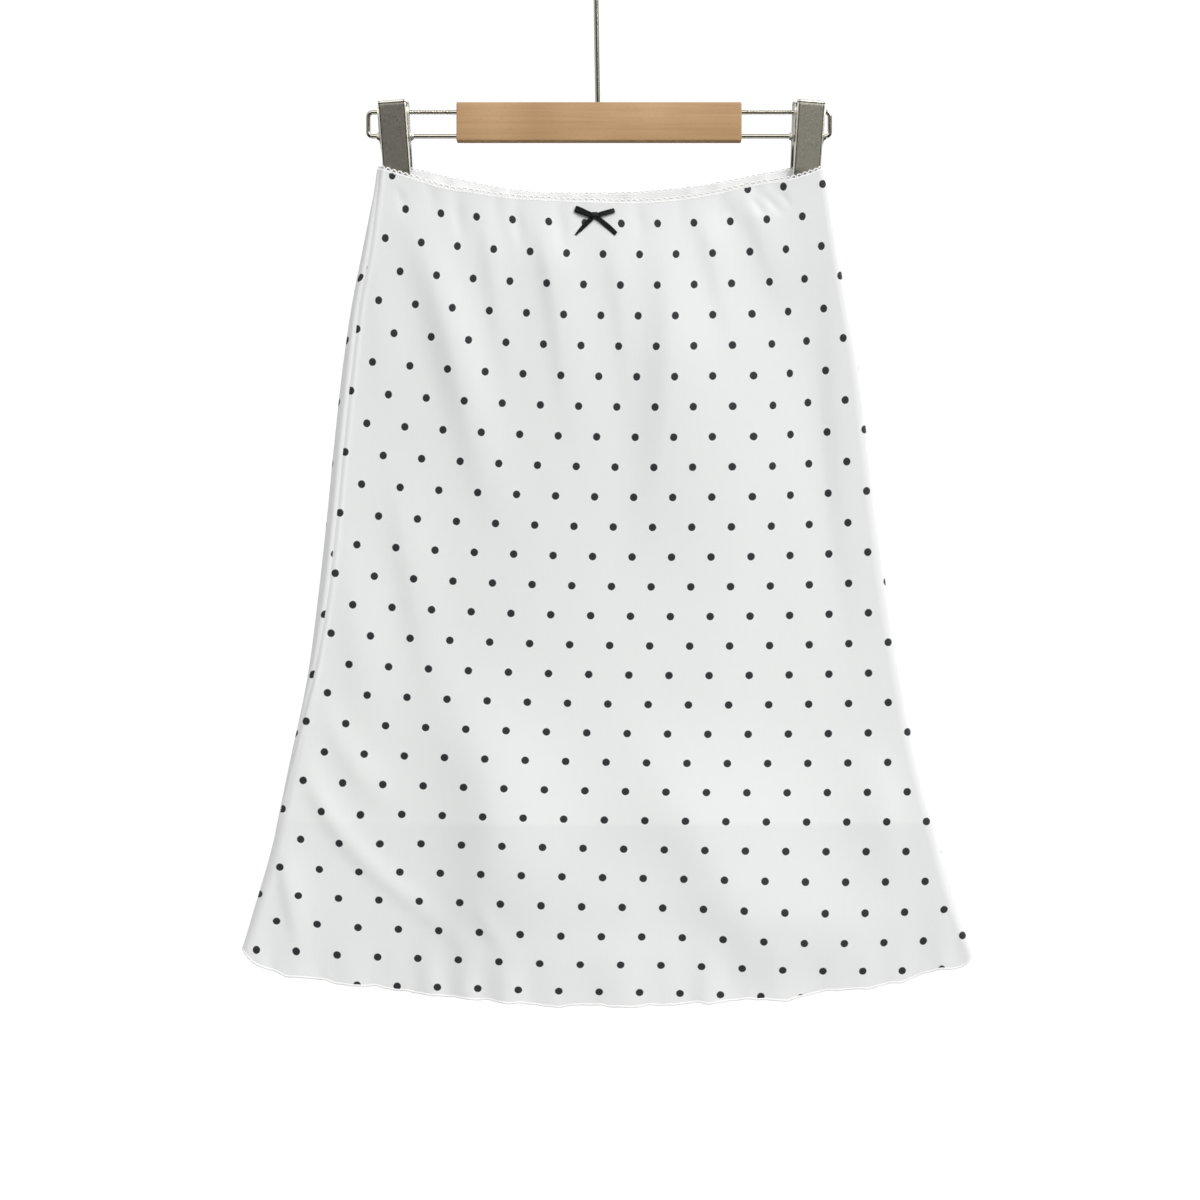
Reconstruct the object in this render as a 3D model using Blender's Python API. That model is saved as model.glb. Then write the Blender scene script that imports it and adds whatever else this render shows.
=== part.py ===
"""A knee-length mermaid skirt of dotted cloth, held by its waist on a wooden clip hanger.

Units are metres with +Z up. The origin is where the hanger's hook rests on a rail, the
front of the skirt faces -Y, and +X is on the right of someone who looks at the front.
Heights on the skirt are given as a drop below the hook's rest. The tables are in
millimetres, one row for each level, fold or wave, with their columns named above them.
"""

import math

import bmesh
import bpy
import numpy as np
from mathutils import Matrix, Vector

MM = 0.001

# Driving sizes of the cloth
CLOTH_WALL = 1.0 * MM
SEAM_GAP = 0.3 * MM
PIECE_GAP = 0.3 * MM
FRONT_COLUMNS = 76
BACK_COLUMNS = 72
PANEL_ROWS = 17
EDGE_CROWDING = 0.34
HEM_CROWDING = 0.30
SIDE_FADE = 16.0
USUAL_WAIST = 180.0
USUAL_LENGTH = 590.0
NORMAL_SHARE = 0.001
NORMAL_LENGTH = 0.4
NORMAL_DOWN = 0.0008

# Driving sizes of the waist elastic
ELASTIC_WALL = 1.0 * MM
ELASTIC_DEPTH = 8.0
ELASTIC_STANDS = 2.7
ELASTIC_PLAY = 0.2

# Driving sizes of the bow
RIBBON_WALL = 1.0
LOOP_SLOT = 0.7
KNOT_SIZE = (6.2, 4.2, 5.0)
KNOT_BEVEL = 1.3 * MM
KNOT_STANDS = 0.2
LOOP_FROM_KNOT = 0.3
TAIL_FROM_KNOT = 0.9
TAIL_LIFT = 0.5
BOW_CENTRE = (-3.4, 202.3)

# Driving sizes of the hanger
HOOK_INNER_RADIUS = 18.0 * MM
HOOK_WIRE_RADIUS = 1.8 * MM
HOOK_TAIL_ANGLE = math.radians(205)
HOOK_ROUND_START = math.radians(-35)
HOOK_HANDLE = 11.0 * MM
STEM_FOOT_X = -1.7 * MM
STEM_LEAN = math.radians(0.9)
STEM_LENGTH = 75.5 * MM
BAR_CENTRE = Vector((-0.7 * MM, 0.0, -134.2 * MM))
BAR_SIZE = Vector((206.0 * MM, 12.0 * MM, 28.0 * MM))
BAR_EDGE_RADIUS = 1.2 * MM
HOLE_DEPTH = 20.0 * MM
HOLE_LEAD = 5.0 * MM
HOLE_FLOOR = 1.0 * MM
WIRE_RADIUS = 1.6 * MM
WIRE_UPPER_Z = -126.7 * MM
WIRE_LOWER_Z = -144.1 * MM
WIRE_CORNER = 3.2 * MM
CORNER_POINTS = 6
WIRE_END_LEFT = -167.8 * MM
WIRE_END_RIGHT = 166.4 * MM

# Driving sizes of one clip, in its own frame: the lower wire runs through its origin
CLIP_PLATE = 0.8 * MM
JAW_TOP_WALL = 0.5
HOLLOW_TOP = 30.0
HOLLOW_FOOT = -40.0
HOLLOW_REAR = -12.0
FRONT_JAW_WIDTH = 18.8 * MM
BACK_JAW_WIDTH = 21.0 * MM
EYELET_BORE = 1.95 * MM
EYELET_RADIUS = 2.5 * MM
EYELET_FLARE = 3.3 * MM
EYELET_FLARE_LENGTH = 1.5 * MM
EYELET_LIP = 0.8 * MM
EYELET_SIDES = 16
EYELET_PLAY = 0.4 * MM
LEAN_PLAY = 0.75 * MM
CLIPS = (
    # name, x of the clip at the lower wire (mm), lean of its foot towards +X (degrees)
    ("left", -148.2, 3.7),
    ("right", 150.2, -2.9),
)

# One row for each level of the skirt: the drop below the hook's rest, the x of the left
# and right outline, the half depth in the middle, the radius of the side folds, the y of
# the middle of the depth, and how far round from the outline each side seam lies
# (left: towards the front, right: towards the back).
LEVEL_COLUMNS = ("drop", "left", "right", "half_depth", "side_radius", "mid_y", "seam_left", "seam_right")
LEVELS = (
    (167, -160.4, 161.6, 7.2, 5.4, -4.4, 4.6, 5.0),
    (183, -162.9, 164.7, 7.8, 5.4, -4.4, 5.7, 6.0),
    (205, -167.2, 168.0, 10.0, 5.7, -4.2, 7.6, 7.0),
    (234, -173.0, 173.0, 12.5, 6.2, -3.6, 9.6, 8.0),
    (263, -178.8, 178.1, 14.5, 6.6, -2.8, 9.8, 8.5),
    (306, -185.3, 186.1, 16.5, 7.0, -2.4, 11.2, 9.0),
    (364, -191.9, 193.3, 18.5, 7.4, -2.0, 11.8, 9.0),
    (422, -197.7, 200.5, 20.0, 8.0, -1.6, 12.2, 9.0),
    (480, -204.2, 208.5, 21.5, 8.4, -1.2, 12.4, 8.5),
    (538, -212.1, 218.6, 23.0, 8.6, -0.8, 9.5, 7.0),
    (581, -220.8, 226.6, 24.0, 8.6, -0.5, 6.0, 5.0),
    (625, -229.9, 237.5, 25.0, 8.4, -0.3, 2.5, 3.0),
    (668, -239.6, 248.3, 26.5, 8.0, 0.0, 0.0, 0.0),
    (697, -248.0, 256.7, 28.0, 7.6, 0.0, -1.0, -1.0),
    (719, -254.8, 264.6, 29.0, 7.2, 0.0, -1.0, -1.0),
    (733, -259.2, 270.1, 30.0, 7.0, 0.0, -1.0, -1.0),
    (777, -263.5, 275.1, 31.0, 7.0, 0.0, -1.0, -1.0),
)

# The waist edge of the cloth: x, and the drop of the edge there.
EDGE_COLUMNS = ("x", "drop")
FRONT_WAIST = (
    (-161, 169.2), (-133, 177.3), (-116, 182.8), (-88, 187.4), (-66, 190.7), (-33, 192.8), (0, 194.2),
    (29, 194.4), (51, 192.9), (68, 190.9), (87, 187.2), (107, 182.4), (126, 179.2), (138, 177.4),
    (149, 174.2), (162, 169.2),
)
BACK_WAIST = (
    (-161, 169.2), (-148, 168.4), (-135, 170.1), (-116, 174.8), (-77, 182.6), (-55, 186.0), (-29, 187.2),
    (0, 187.2), (29, 186.4), (49, 184.8), (74, 182.2), (93, 178.6), (126, 172.1), (148, 168.4), (162, 169.2),
)

# The lower edge of the cloth without its waves: the share of the half width, from -1 at
# the left outline to 1 at the right, and the drop of the edge there.
HEM_COLUMNS = ("across", "drop")
FRONT_HEM = (
    (-1.0, 732), (-0.97, 739.4), (-0.90, 747), (-0.80, 751.8), (-0.62, 757), (-0.45, 762.6),
    (-0.27, 766.1), (-0.10, 768.1), (0.10, 768.1), (0.27, 766.6), (0.45, 764.6), (0.62, 759.5),
    (0.78, 754.3), (0.90, 745.5), (0.97, 742.4), (1.0, 734),
)
BACK_HEM = (
    (-1.0, 732), (-0.97, 738), (-0.90, 744), (-0.80, 749), (-0.60, 757), (-0.30, 764), (0.0, 767),
    (0.30, 764), (0.60, 757), (0.80, 750), (0.90, 743), (0.97, 739), (1.0, 734),
)

# Waves of the hem: x at the hem, half width, how far the cloth stands out, and how far
# the edge dips. Each fades out upwards over WAVE_HEIGHT.
WAVE_HEIGHT = 62.0
WAVE_MIDDLE = 2.4
WAVE_SHARE = 0.6
HEM_HALF_WIDTH = 264.0
HEM_MIDDLE = 5.0
WAVE_CALM_FROM = 0.86
WAVE_COLUMNS = ("x", "half_width", "out", "dip")
FRONT_WAVES = (
    (-247, 8, 3.0, 1.0), (-221, 11, 4.5, 2.0), (-179, 13, 6.0, 2.5), (-145, 11, 4.0, 1.5),
    (-121, 11, 5.0, 1.5), (-95, 12, 4.5, 1.0), (-68, 12, 5.5, 1.5), (-34, 14, 6.5, 2.5),
    (18, 15, 6.0, 2.0), (50, 11, 4.5, 1.5), (77, 12, 5.0, 1.5), (133, 16, 6.5, 3.0),
    (170, 9, 3.0, 0.5), (189, 13, 5.5, 2.0), (217, 10, 4.0, 1.5), (247, 9, 3.5, 1.5),
)
BACK_WAVES = (
    (-240, 10, 3.5, 1.0), (-206, 13, 5.0, 1.5), (-168, 12, 4.0, 1.0), (-128, 15, 6.0, 2.0),
    (-86, 12, 4.5, 1.5), (-49, 13, 5.5, 1.5), (-8, 15, 6.0, 2.0), (36, 12, 4.5, 1.0),
    (74, 14, 5.5, 2.0), (112, 12, 4.0, 1.0), (152, 15, 6.0, 2.0), (196, 12, 5.0, 1.5),
    (236, 11, 4.0, 1.0),
)

# Folds: the crest's line as points of x and drop, the half width on its left and on its
# right, how far the cloth stands out, and the share of the line where it stands out most.
# A trough stands out by less than nothing.
FRONT_FOLDS = (
    (((-145, 184), (-139, 198), (-127, 235), (-106, 320), (-84, 407), (-66, 450)), 9, 15, 3.6, 0.15),
    (((-84, 190), (-78, 241), (-62, 345)), 7, 10, 1.4, 0.3),
    (((-45, 196), (-36, 241), (-22, 342), (-14, 392)), 7, 13, 2.6, 0.15),
    (((5, 200), (13, 248), (24, 345), (28, 385)), 8, 12, 1.5, 0.3),
    (((44, 196), (50, 248), (50, 299), (39, 407), (30, 450)), 9, 16, 3.4, 0.3),
    (((72, 190), (84, 241), (104, 330)), 8, 12, 2.2, 0.2),
    (((103, 181), (116, 216), (138, 284)), 8, 10, 2.2, 0.2),
    (((158, 218), (155, 277), (160, 386), (175, 516), (184, 575)), 20, 10, -2.6, 0.35),
    (((116, 250), (109, 335), (98, 407), (83, 501), (70, 610)), 40, 26, 3.2, 0.45),
    (((-161, 215), (-157, 290), (-150, 375)), 10, 18, 1.8, 0.4),
    (((-149, 370), (-140, 436), (-120, 545), (-111, 585)), 9, 18, 2.2, 0.4),
    (((-180, 420), (-176, 480), (-166, 600)), 14, 20, 2.0, 0.5),
    (((-202, 540), (-182, 590), (-152, 640)), 9, 14, 1.6, 0.6),
    (((-112, 500), (-93, 560), (-75, 617), (-72, 661), (-84, 726), (-88, 765)), 27, 44, 7.0, 0.6),
    (((28, 545), (54, 610), (76, 646), (94, 682), (117, 733), (126, 765)), 18, 26, 5.5, 0.65),
    (((192, 570), (202, 617), (208, 700)), 22, 14, 2.6, 0.5),
    (((-233, 640), (-228, 670), (-222, 705), (-216, 745)), 5.5, 12, 2.0, 0.5),
)
BACK_FOLDS = (
    (((-150, 195), (-138, 240), (-112, 360)), 10, 15, 2.8, 0.2),
    (((-100, 195), (-94, 270), (-86, 380)), 8, 14, 2.4, 0.25),
    (((-44, 200), (-46, 300), (-54, 430)), 9, 15, 2.8, 0.2),
    (((6, 202), (9, 280), (12, 390)), 8, 14, 2.0, 0.3),
    (((46, 200), (44, 320), (40, 440)), 9, 14, 2.8, 0.2),
    (((100, 195), (108, 260), (122, 380)), 8, 13, 2.4, 0.2),
    (((150, 205), (156, 300), (168, 430)), 20, 10, -2.4, 0.4),
    (((-172, 400), (-180, 480), (-192, 610)), 14, 18, 2.2, 0.5),
    (((-112, 500), (-126, 620), (-148, 760)), 24, 34, 5.0, 0.6),
    (((-40, 470), (-44, 600), (-52, 765)), 26, 30, 4.5, 0.6),
    (((36, 520), (42, 640), (48, 765)), 24, 28, 5.0, 0.6),
    (((104, 480), (118, 620), (136, 765)), 26, 26, 4.5, 0.6),
    (((186, 560), (200, 640), (214, 750)), 16, 16, 3.0, 0.6),
)

# Gathers under the waist elastic: x at the waist, how far their foot lies to the right,
# length, half width and how deep each one is.
FRONT_GATHERS = (
    (-124, 7, 34, 4.5, 1.0), (-104, 4, 46, 4.8, 1.3), (-76, 3, 38, 4.5, 1.0),
    (-60, 2, 30, 4.5, 0.9), (-30, 0, 40, 4.8, 1.1), (-14, 0, 30, 4.5, 0.9), (26, 0, 44, 4.8, 1.2),
    (57, 1, 36, 4.5, 1.0), (86, 4, 48, 4.8, 1.2), (112, 8, 34, 4.5, 1.4), (125, 8, 30, 4.5, 1.2),
)
BACK_GATHERS = (
    (-122, 4, 36, 4.8, 1.0), (-104, 4, 44, 4.8, 1.2), (-72, 2, 38, 4.8, 1.1), (-54, 1, 32, 4.8, 1.0),
    (-22, 0, 46, 4.8, 1.2), (-6, 0, 34, 4.8, 1.0), (22, 0, 42, 4.8, 1.2), (66, 2, 38, 4.8, 1.1),
    (86, 3, 46, 4.8, 1.2), (118, 5, 36, 4.8, 1.0),
)

# Side view of a clip's jaws in its own frame: depth from the wires, and height. The front
# jaw's numbers run from its top to the tip that is hidden in the waist.
FRONT_JAW_FACE = ((9.4, 25.2), (6.4, 0.0), (5.0, -26.0), (2.9, -34.0))
FRONT_JAW_REAR = (
    (1.9, -34.4), (3.6, -25.0), (2.6, -8.0), (-3.2, -4.6), (-4.9, -2.0), (-4.9, 2.0), (-3.2, 4.6),
    (2.4, 9.0), (4.4, 14.0), (7.8, 25.2),
)
BACK_JAW_FACE = ((9.0, 25.2), (6.4, 0.0), (4.6, -24.0), (2.5, -34.0))
BACK_JAW_REAR = (
    (1.4, -34.4), (3.2, -23.0), (0.4, -10.0), (-4.9, -3.0), (-4.9, 20.0), (-2.0, 23.4), (7.2, 25.2),
)

# The ribbon bow: each piece's name, where it ends to the right of and above the knot, its
# width there and beside the knot, and how far it stands off the cloth.
BOW_LOOPS = (
    ("bow_loop_left", -14.6, 5.0, 4.0, 4.6, 0.4),
    ("bow_loop_right", 14.8, 4.6, 2.8, 3.0, 0.8),
)
BOW_TAILS = (
    ("bow_tail_left", -14.6, -14.6, 2.6, 2.8, 0.0),
    ("bow_tail_right", 15.4, -12.6, 3.8, 4.2, 0.2),
)

# Colours as linear red, green, blue, then roughness and metallic.
FINISHES = {
    "white_cloth": ((0.80, 0.80, 0.79), 0.75, 0.0),
    "white_elastic": ((0.82, 0.82, 0.81), 0.70, 0.0),
    "black_ribbon": ((0.012, 0.012, 0.014), 0.45, 0.0),
    "beech": ((0.58, 0.36, 0.18), 0.50, 0.0),
    "plated_steel": ((0.55, 0.55, 0.53), 0.28, 1.0),
    "pressed_steel": ((0.24, 0.23, 0.20), 0.38, 1.0),
}


def clear_scene():
    for scene_object in list(bpy.data.objects):
        bpy.data.objects.remove(scene_object, do_unlink=True)


def finish(name):
    """One material of FINISHES, made on first use."""
    made = bpy.data.materials.get(name)
    if made is None:
        colour, roughness, metallic = FINISHES[name]
        made = bpy.data.materials.new(name)
        made.use_nodes = True
        shader = made.node_tree.nodes["Principled BSDF"]
        shader.inputs["Base Color"].default_value = (*colour, 1.0)
        shader.inputs["Roughness"].default_value = roughness
        shader.inputs["Metallic"].default_value = metallic
    return made


def add_mesh(name, points, faces, finish_name, smooth_angle=40):
    """A mesh object from points in metres, its faces turned outwards."""
    mesh = bpy.data.meshes.new(name)
    mesh.from_pydata([tuple(point) for point in points], [], faces)
    shape = bmesh.new()
    shape.from_mesh(mesh)
    bmesh.ops.recalc_face_normals(shape, faces=shape.faces)
    shape.to_mesh(mesh)
    shape.free()
    mesh.shade_smooth()
    mesh.set_sharp_from_angle(angle=math.radians(smooth_angle))
    mesh.materials.append(finish(finish_name))
    made = bpy.data.objects.new(name, mesh)
    bpy.context.scene.collection.objects.link(made)
    return made


def column(rows, names, wanted):
    return np.array([row[names.index(wanted)] for row in rows], float)


def through(rows, names, key, wanted, at):
    """A smooth curve through a table's rows: the wanted column at these values of the key."""
    keys = column(rows, names, key)
    values = column(rows, names, wanted)
    slopes = np.gradient(values, keys)
    at = np.clip(at, keys[0], keys[-1])
    low = np.clip(np.searchsorted(keys, at, side="right") - 1, 0, len(keys) - 2)
    span = keys[low + 1] - keys[low]
    share = (at - keys[low]) / span
    from_low = (1 + 2 * share) * (1 - share) ** 2
    from_high = share**2 * (3 - 2 * share)
    low_slope = share * (1 - share) ** 2 * span
    high_slope = share**2 * (share - 1) * span
    return (
        from_low * values[low]
        + from_high * values[low + 1]
        + low_slope * slopes[low]
        + high_slope * slopes[low + 1]
    )


def level(wanted, drop):
    return through(LEVELS, LEVEL_COLUMNS, "drop", wanted, drop)


def fade(share):
    """1 at zero, falling smoothly to 0 at one and beyond."""
    share = np.clip(share, 0.0, 1.0)
    return 1 - share * share * (3 - 2 * share)


def half_round(drop):
    """The length of the cloth from outline to outline, once across the front or the back."""
    radius = level("side_radius", drop)
    flat = level("right", drop) - level("left", drop) - 2 * radius
    return flat + math.pi * radius


def around(arc, drop):
    """x, y and side of the plain section at an arc length from the left outline.

    The arc runs over the front to the right outline, and back over the back. Side is -1 on
    the front and 1 on the back.
    """
    half = half_round(drop)
    arc = np.mod(arc, 2 * half)
    side = np.where(arc < half, -1.0, 1.0)
    along = np.where(arc < half, arc, 2 * half - arc)
    radius = level("side_radius", drop)
    left = level("left", drop)
    right = level("right", drop)
    quarter = math.pi * radius / 2
    near_left = along < quarter
    near_right = along > half - quarter
    turn = np.where(near_left, along, np.where(near_right, half - along, quarter)) / radius
    x = left + radius + along - quarter
    x = np.where(near_left, left + radius * (1 - np.cos(turn)), x)
    x = np.where(near_right, right - radius * (1 - np.cos(turn)), x)
    middle = (left + right) / 2
    flat_share = np.clip(np.abs(x - middle) / ((right - left) / 2 - radius), 0, 1)
    swell = (level("half_depth", drop) - radius) * np.cos(math.pi * flat_share / 2) ** 2
    reach = np.where(near_left | near_right, radius * np.sin(turn), radius + swell)
    return x, level("mid_y", drop) + side * reach, side


def away_from_sides(x, drop):
    """0 at the outline, rising to 1 at SIDE_FADE inside it."""
    inside = np.minimum(x - level("left", drop), level("right", drop) - x)
    return 1 - fade(inside / SIDE_FADE)


def fold_relief(x, drop, folds):
    """How far the folds push the cloth out."""
    out = np.zeros_like(x)
    for line, left_width, right_width, reach, peak in folds:
        first, last = line[0][1], line[-1][1]
        crest = through(line, EDGE_COLUMNS, "drop", "x", drop)
        lean = (through(line, EDGE_COLUMNS, "drop", "x", drop + 1) - crest) * (drop < last - 1)
        beside = (x - crest) / np.sqrt(1 + lean**2)
        width = np.where(beside < 0, left_width, right_width)
        share = (drop - first) / (last - first)
        ends = (1 - fade(share / peak)) * fade((share - peak) / (1 - peak))
        out += reach * ends * np.exp(-((beside / width) ** 2))
    return out


def gather_relief(x, drop, waist_drop, gathers):
    out = np.zeros_like(x)
    below = drop - waist_drop
    for at, shift, length, half_width, depth in gathers:
        share = np.clip(below / length, 0, 1)
        spread = 1 + 0.5 * share
        centre = at + shift * share
        out -= depth * fade(share) * np.exp(-(((x - centre) / (half_width * spread)) ** 2))
    return out


def wave_sum(x, waves, wanted):
    total = np.zeros_like(x)
    for row in waves:
        wave = dict(zip(WAVE_COLUMNS, row))
        total += wave[wanted] * np.exp(-(((x - wave["x"]) / wave["half_width"]) ** 2))
    return total


def edge_drops(x, side, drop):
    """The drops of the waist edge and of the hem above and below a point."""
    waist = np.where(
        side < 0,
        through(FRONT_WAIST, EDGE_COLUMNS, "x", "drop", x),
        through(BACK_WAIST, EDGE_COLUMNS, "x", "drop", x),
    )
    middle = (level("left", drop) + level("right", drop)) / 2
    half_width = (level("right", drop) - level("left", drop)) / 2
    across = np.clip((x - middle) / half_width, -1, 1)
    hem_x = across * HEM_HALF_WIDTH + HEM_MIDDLE
    wave_share = fade(6 * (np.abs(across) - WAVE_CALM_FROM))
    front_hem = through(FRONT_HEM, HEM_COLUMNS, "across", "drop", across)
    front_hem = front_hem + wave_sum(hem_x, FRONT_WAVES, "dip") * wave_share
    back_hem = through(BACK_HEM, HEM_COLUMNS, "across", "drop", across)
    back_hem = back_hem + wave_sum(hem_x, BACK_WAVES, "dip") * wave_share
    return waist, np.where(side < 0, front_hem, back_hem)


def skirt_surface(start_arc, end_arc, columns, downs):
    """The outer points of a stretch of skirt, in metres, as rows of columns.

    start_arc and end_arc give the arc at a drop. columns run from 0 to 1 between them, and
    downs from 0 at the waist edge to 1 at the hem. A down may also be a length in
    millimetres from the waist edge, given as (millimetres, None).
    """
    columns = np.asarray(columns)[None, :]
    as_lengths = isinstance(downs, tuple)
    steps = np.asarray(downs[0] if as_lengths else downs)[:, None]
    drop = np.full((steps.shape[0], columns.shape[1]), USUAL_WAIST)
    drop = drop + (0 if as_lengths else USUAL_LENGTH * steps)
    for _ in range(6):
        start = start_arc(drop)
        x, y, side = around(start + (end_arc(drop) - start) * columns, drop)
        waist, hem = edge_drops(x, side, drop)
        drop = waist + (steps if as_lengths else (hem - waist) * steps)
    out = np.where(
        side < 0,
        fold_relief(x, drop, FRONT_FOLDS) + gather_relief(x, drop, waist, FRONT_GATHERS),
        fold_relief(x, drop, BACK_FOLDS) + gather_relief(x, drop, waist, BACK_GATHERS),
    )
    rise = fade((hem - drop) / WAVE_HEIGHT) ** 1.5
    waves = np.where(side < 0, wave_sum(x, FRONT_WAVES, "out"), wave_sum(x, BACK_WAVES, "out"))
    out = out + rise * (waves * WAVE_SHARE - WAVE_MIDDLE)
    y = y + side * out * away_from_sides(x, drop)
    return np.stack([x, y, -drop], axis=2) * MM


def skirt_normals(start_arc, end_arc, columns, downs):
    """Unit normals out of the cloth at the same places, from close neighbours on each side."""
    columns = np.asarray(columns)
    steps, unit = (downs[0], NORMAL_LENGTH) if isinstance(downs, tuple) else (downs, NORMAL_DOWN)

    def moved(shift):
        return (steps + shift, None) if isinstance(downs, tuple) else steps + shift

    along = skirt_surface(start_arc, end_arc, columns + NORMAL_SHARE, downs)
    along = along - skirt_surface(start_arc, end_arc, columns - NORMAL_SHARE, downs)
    down = skirt_surface(start_arc, end_arc, columns, moved(unit))
    down = down - skirt_surface(start_arc, end_arc, columns, moved(-unit))
    normals = np.cross(down, along)
    return normals / np.linalg.norm(normals, axis=2, keepdims=True)


def wall_solid(name, outer, inner, finish_name):
    """A closed wall between two grids of the same size."""
    rows, columns = outer.shape[:2]
    points = list(outer.reshape(-1, 3)) + list(inner.reshape(-1, 3))
    inner_start = rows * columns
    faces = []
    for row in range(rows - 1):
        for place in range(columns - 1):
            corner = row * columns + place
            face = (corner, corner + 1, corner + columns + 1, corner + columns)
            faces.append(face)
            faces.append(tuple(inner_start + index for index in reversed(face)))
    border = [place for place in range(columns)]
    border += [row * columns + columns - 1 for row in range(1, rows)]
    border += [(rows - 1) * columns + place for place in range(columns - 2, -1, -1)]
    border += [row * columns for row in range(rows - 2, 0, -1)]
    for first, second in zip(border, border[1:] + border[:1]):
        faces.append((first, second, inner_start + second, inner_start + first))
    return add_mesh(name, points, faces, finish_name, 60)


def crowded(count, crowding):
    """Steps from 0 to 1 that lie closer together near both ends."""
    steps = np.linspace(0, 1, count + 1)
    return steps - crowding * np.sin(2 * math.pi * steps) / (2 * math.pi)


def panel_rows():
    """Steps from 0 at the waist to 1 at the hem, with one just below the elastic."""
    below_elastic = (ELASTIC_DEPTH + 2) / USUAL_LENGTH
    return np.insert(crowded(PANEL_ROWS, HEM_CROWDING), 1, below_elastic)


def front_start(drop):
    return level("seam_left", drop) + SEAM_GAP / MM / 2


def front_end(drop):
    return half_round(drop) + level("seam_right", drop) - SEAM_GAP / MM / 2


def back_start(drop):
    return half_round(drop) + level("seam_right", drop) + SEAM_GAP / MM / 2


def back_end(drop):
    return 2 * half_round(drop) + level("seam_left", drop) - SEAM_GAP / MM / 2


def build_panel(name, start, end, column_count):
    grid = (start, end, crowded(column_count, EDGE_CROWDING), panel_rows())
    outer = skirt_surface(*grid)
    inner = outer - skirt_normals(*grid) * CLOTH_WALL
    return wall_solid(name, outer, inner, "white_cloth")


def build_elastic(name, start, end, column_count):
    """A band inside the cloth's waist edge, which stands a little above it."""
    steps = np.array([-ELASTIC_STANDS, ELASTIC_DEPTH])
    grid = (start, end, crowded(column_count, EDGE_CROWDING), (steps, None))
    cloth = skirt_surface(*grid)
    normals = skirt_normals(*grid)
    outer_depth = CLOTH_WALL + PIECE_GAP + ELASTIC_PLAY * MM
    outer = cloth - normals * outer_depth
    inner = cloth - normals * (outer_depth + ELASTIC_WALL)
    return wall_solid(name, outer, inner, "white_elastic")


def front_point(x, drop):
    """The outer point of the front cloth at an x and drop, and its unit normal."""
    def here(drops):
        return level("side_radius", drops) * (math.pi / 2 - 1) + (x - level("left", drops))

    def beside(drops):
        return here(drops) + 1.0

    waist = float(through(FRONT_WAIST, EDGE_COLUMNS, "x", "drop", np.array([x]))[0])
    grid = skirt_surface(here, beside, [0.0, 1.0], (np.array([drop - waist, drop + 1 - waist]), None))
    along = grid[0, 1] - grid[0, 0]
    down = grid[1, 0] - grid[0, 0]
    normal = np.cross(down, along)
    return grid[0, 0], normal / np.linalg.norm(normal)


def bow_point(end_x, end_up, lift):
    """A point in front of the cloth, given from the bow's centre in millimetres."""
    centre_x, centre_drop = BOW_CENTRE
    point, _ = front_point(centre_x + end_x, centre_drop - end_up)
    return Vector(point) + Vector((0, -lift * MM, 0))


def ribbon_strip(name, path, widths, wall):
    """A strip of ribbon along a path of points, flat to the front, its width across the path."""
    points = []
    for index, point in enumerate(path):
        before = path[max(index - 1, 0)]
        after = path[min(index + 1, len(path) - 1)]
        direction = (after - before).normalized()
        across = direction.cross(Vector((0, 1, 0)))
        if across.length < 0.2:
            across = (path[-1] - path[0]).cross(Vector((0, 1, 0)))
        across = across.normalized() * widths[index] * MM / 2
        thick = across.cross(direction).normalized() * wall * MM / 2
        points += [point + across + thick, point - across + thick]
        points += [point - across - thick, point + across - thick]
    faces = [(0, 1, 2, 3)]
    for index in range(len(path) - 1):
        here = 4 * index
        for side in range(4):
            beside = (side + 1) % 4
            faces.append((here + side, here + beside, here + 4 + beside, here + 4 + side))
    last = 4 * (len(path) - 1)
    faces.append((last + 3, last + 2, last + 1, last))
    return add_mesh(name, points, faces, "black_ribbon")


def build_bow_loop(name, end_x, end_up, end_width, root_width, lift):
    """A ribbon folded back on itself: out over the top, round the end, and back below."""
    reach = Vector((end_x, 0, end_up))
    length = reach.length
    pitch = RIBBON_WALL + LOOP_SLOT
    cloth_gap = PIECE_GAP / MM + RIBBON_WALL / 2
    root = KNOT_SIZE[0] / 2 + LOOP_FROM_KNOT
    shares = [root / length, 0.5, 0.82]
    path = []
    widths = []
    for share in shares:
        path.append(bow_point(end_x * share, end_up * share, cloth_gap + lift + pitch))
        widths.append(root_width + (end_width - root_width) * share)
    bend = pitch / 2
    for turn in (-60, -20, 20, 60):
        angle = math.radians(turn)
        share = 1 - bend / length + bend * math.cos(angle) / length
        rise = bend - bend * math.sin(angle)
        path.append(bow_point(end_x * share, end_up * share, cloth_gap + lift + rise))
        widths.append(end_width)
    for share in reversed(shares):
        path.append(bow_point(end_x * share, end_up * share, cloth_gap + lift))
        widths.append(root_width + (end_width - root_width) * share)
    return ribbon_strip(name, path, widths, RIBBON_WALL)


def build_bow_tail(name, end_x, end_up, end_width, root_width, lift):
    length = math.hypot(end_x, end_up)
    root = KNOT_SIZE[0] / 2 + TAIL_FROM_KNOT
    cloth_gap = PIECE_GAP / MM + RIBBON_WALL / 2
    path = []
    widths = []
    for share in (root / length, 0.45, 0.72, 1.0):
        path.append(bow_point(end_x * share, end_up * share, cloth_gap + lift + TAIL_LIFT * (1 - share)))
        widths.append(root_width + (end_width - root_width) * share)
    return ribbon_strip(name, path, widths, RIBBON_WALL)


def build_bow_knot():
    centre = bow_point(0, 0, PIECE_GAP / MM + KNOT_SIZE[1] / 2 + KNOT_STANDS)
    knot = box("bow_knot", centre, Vector(KNOT_SIZE) * MM, "black_ribbon")
    bevel(knot, KNOT_BEVEL, 2)
    return knot


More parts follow.
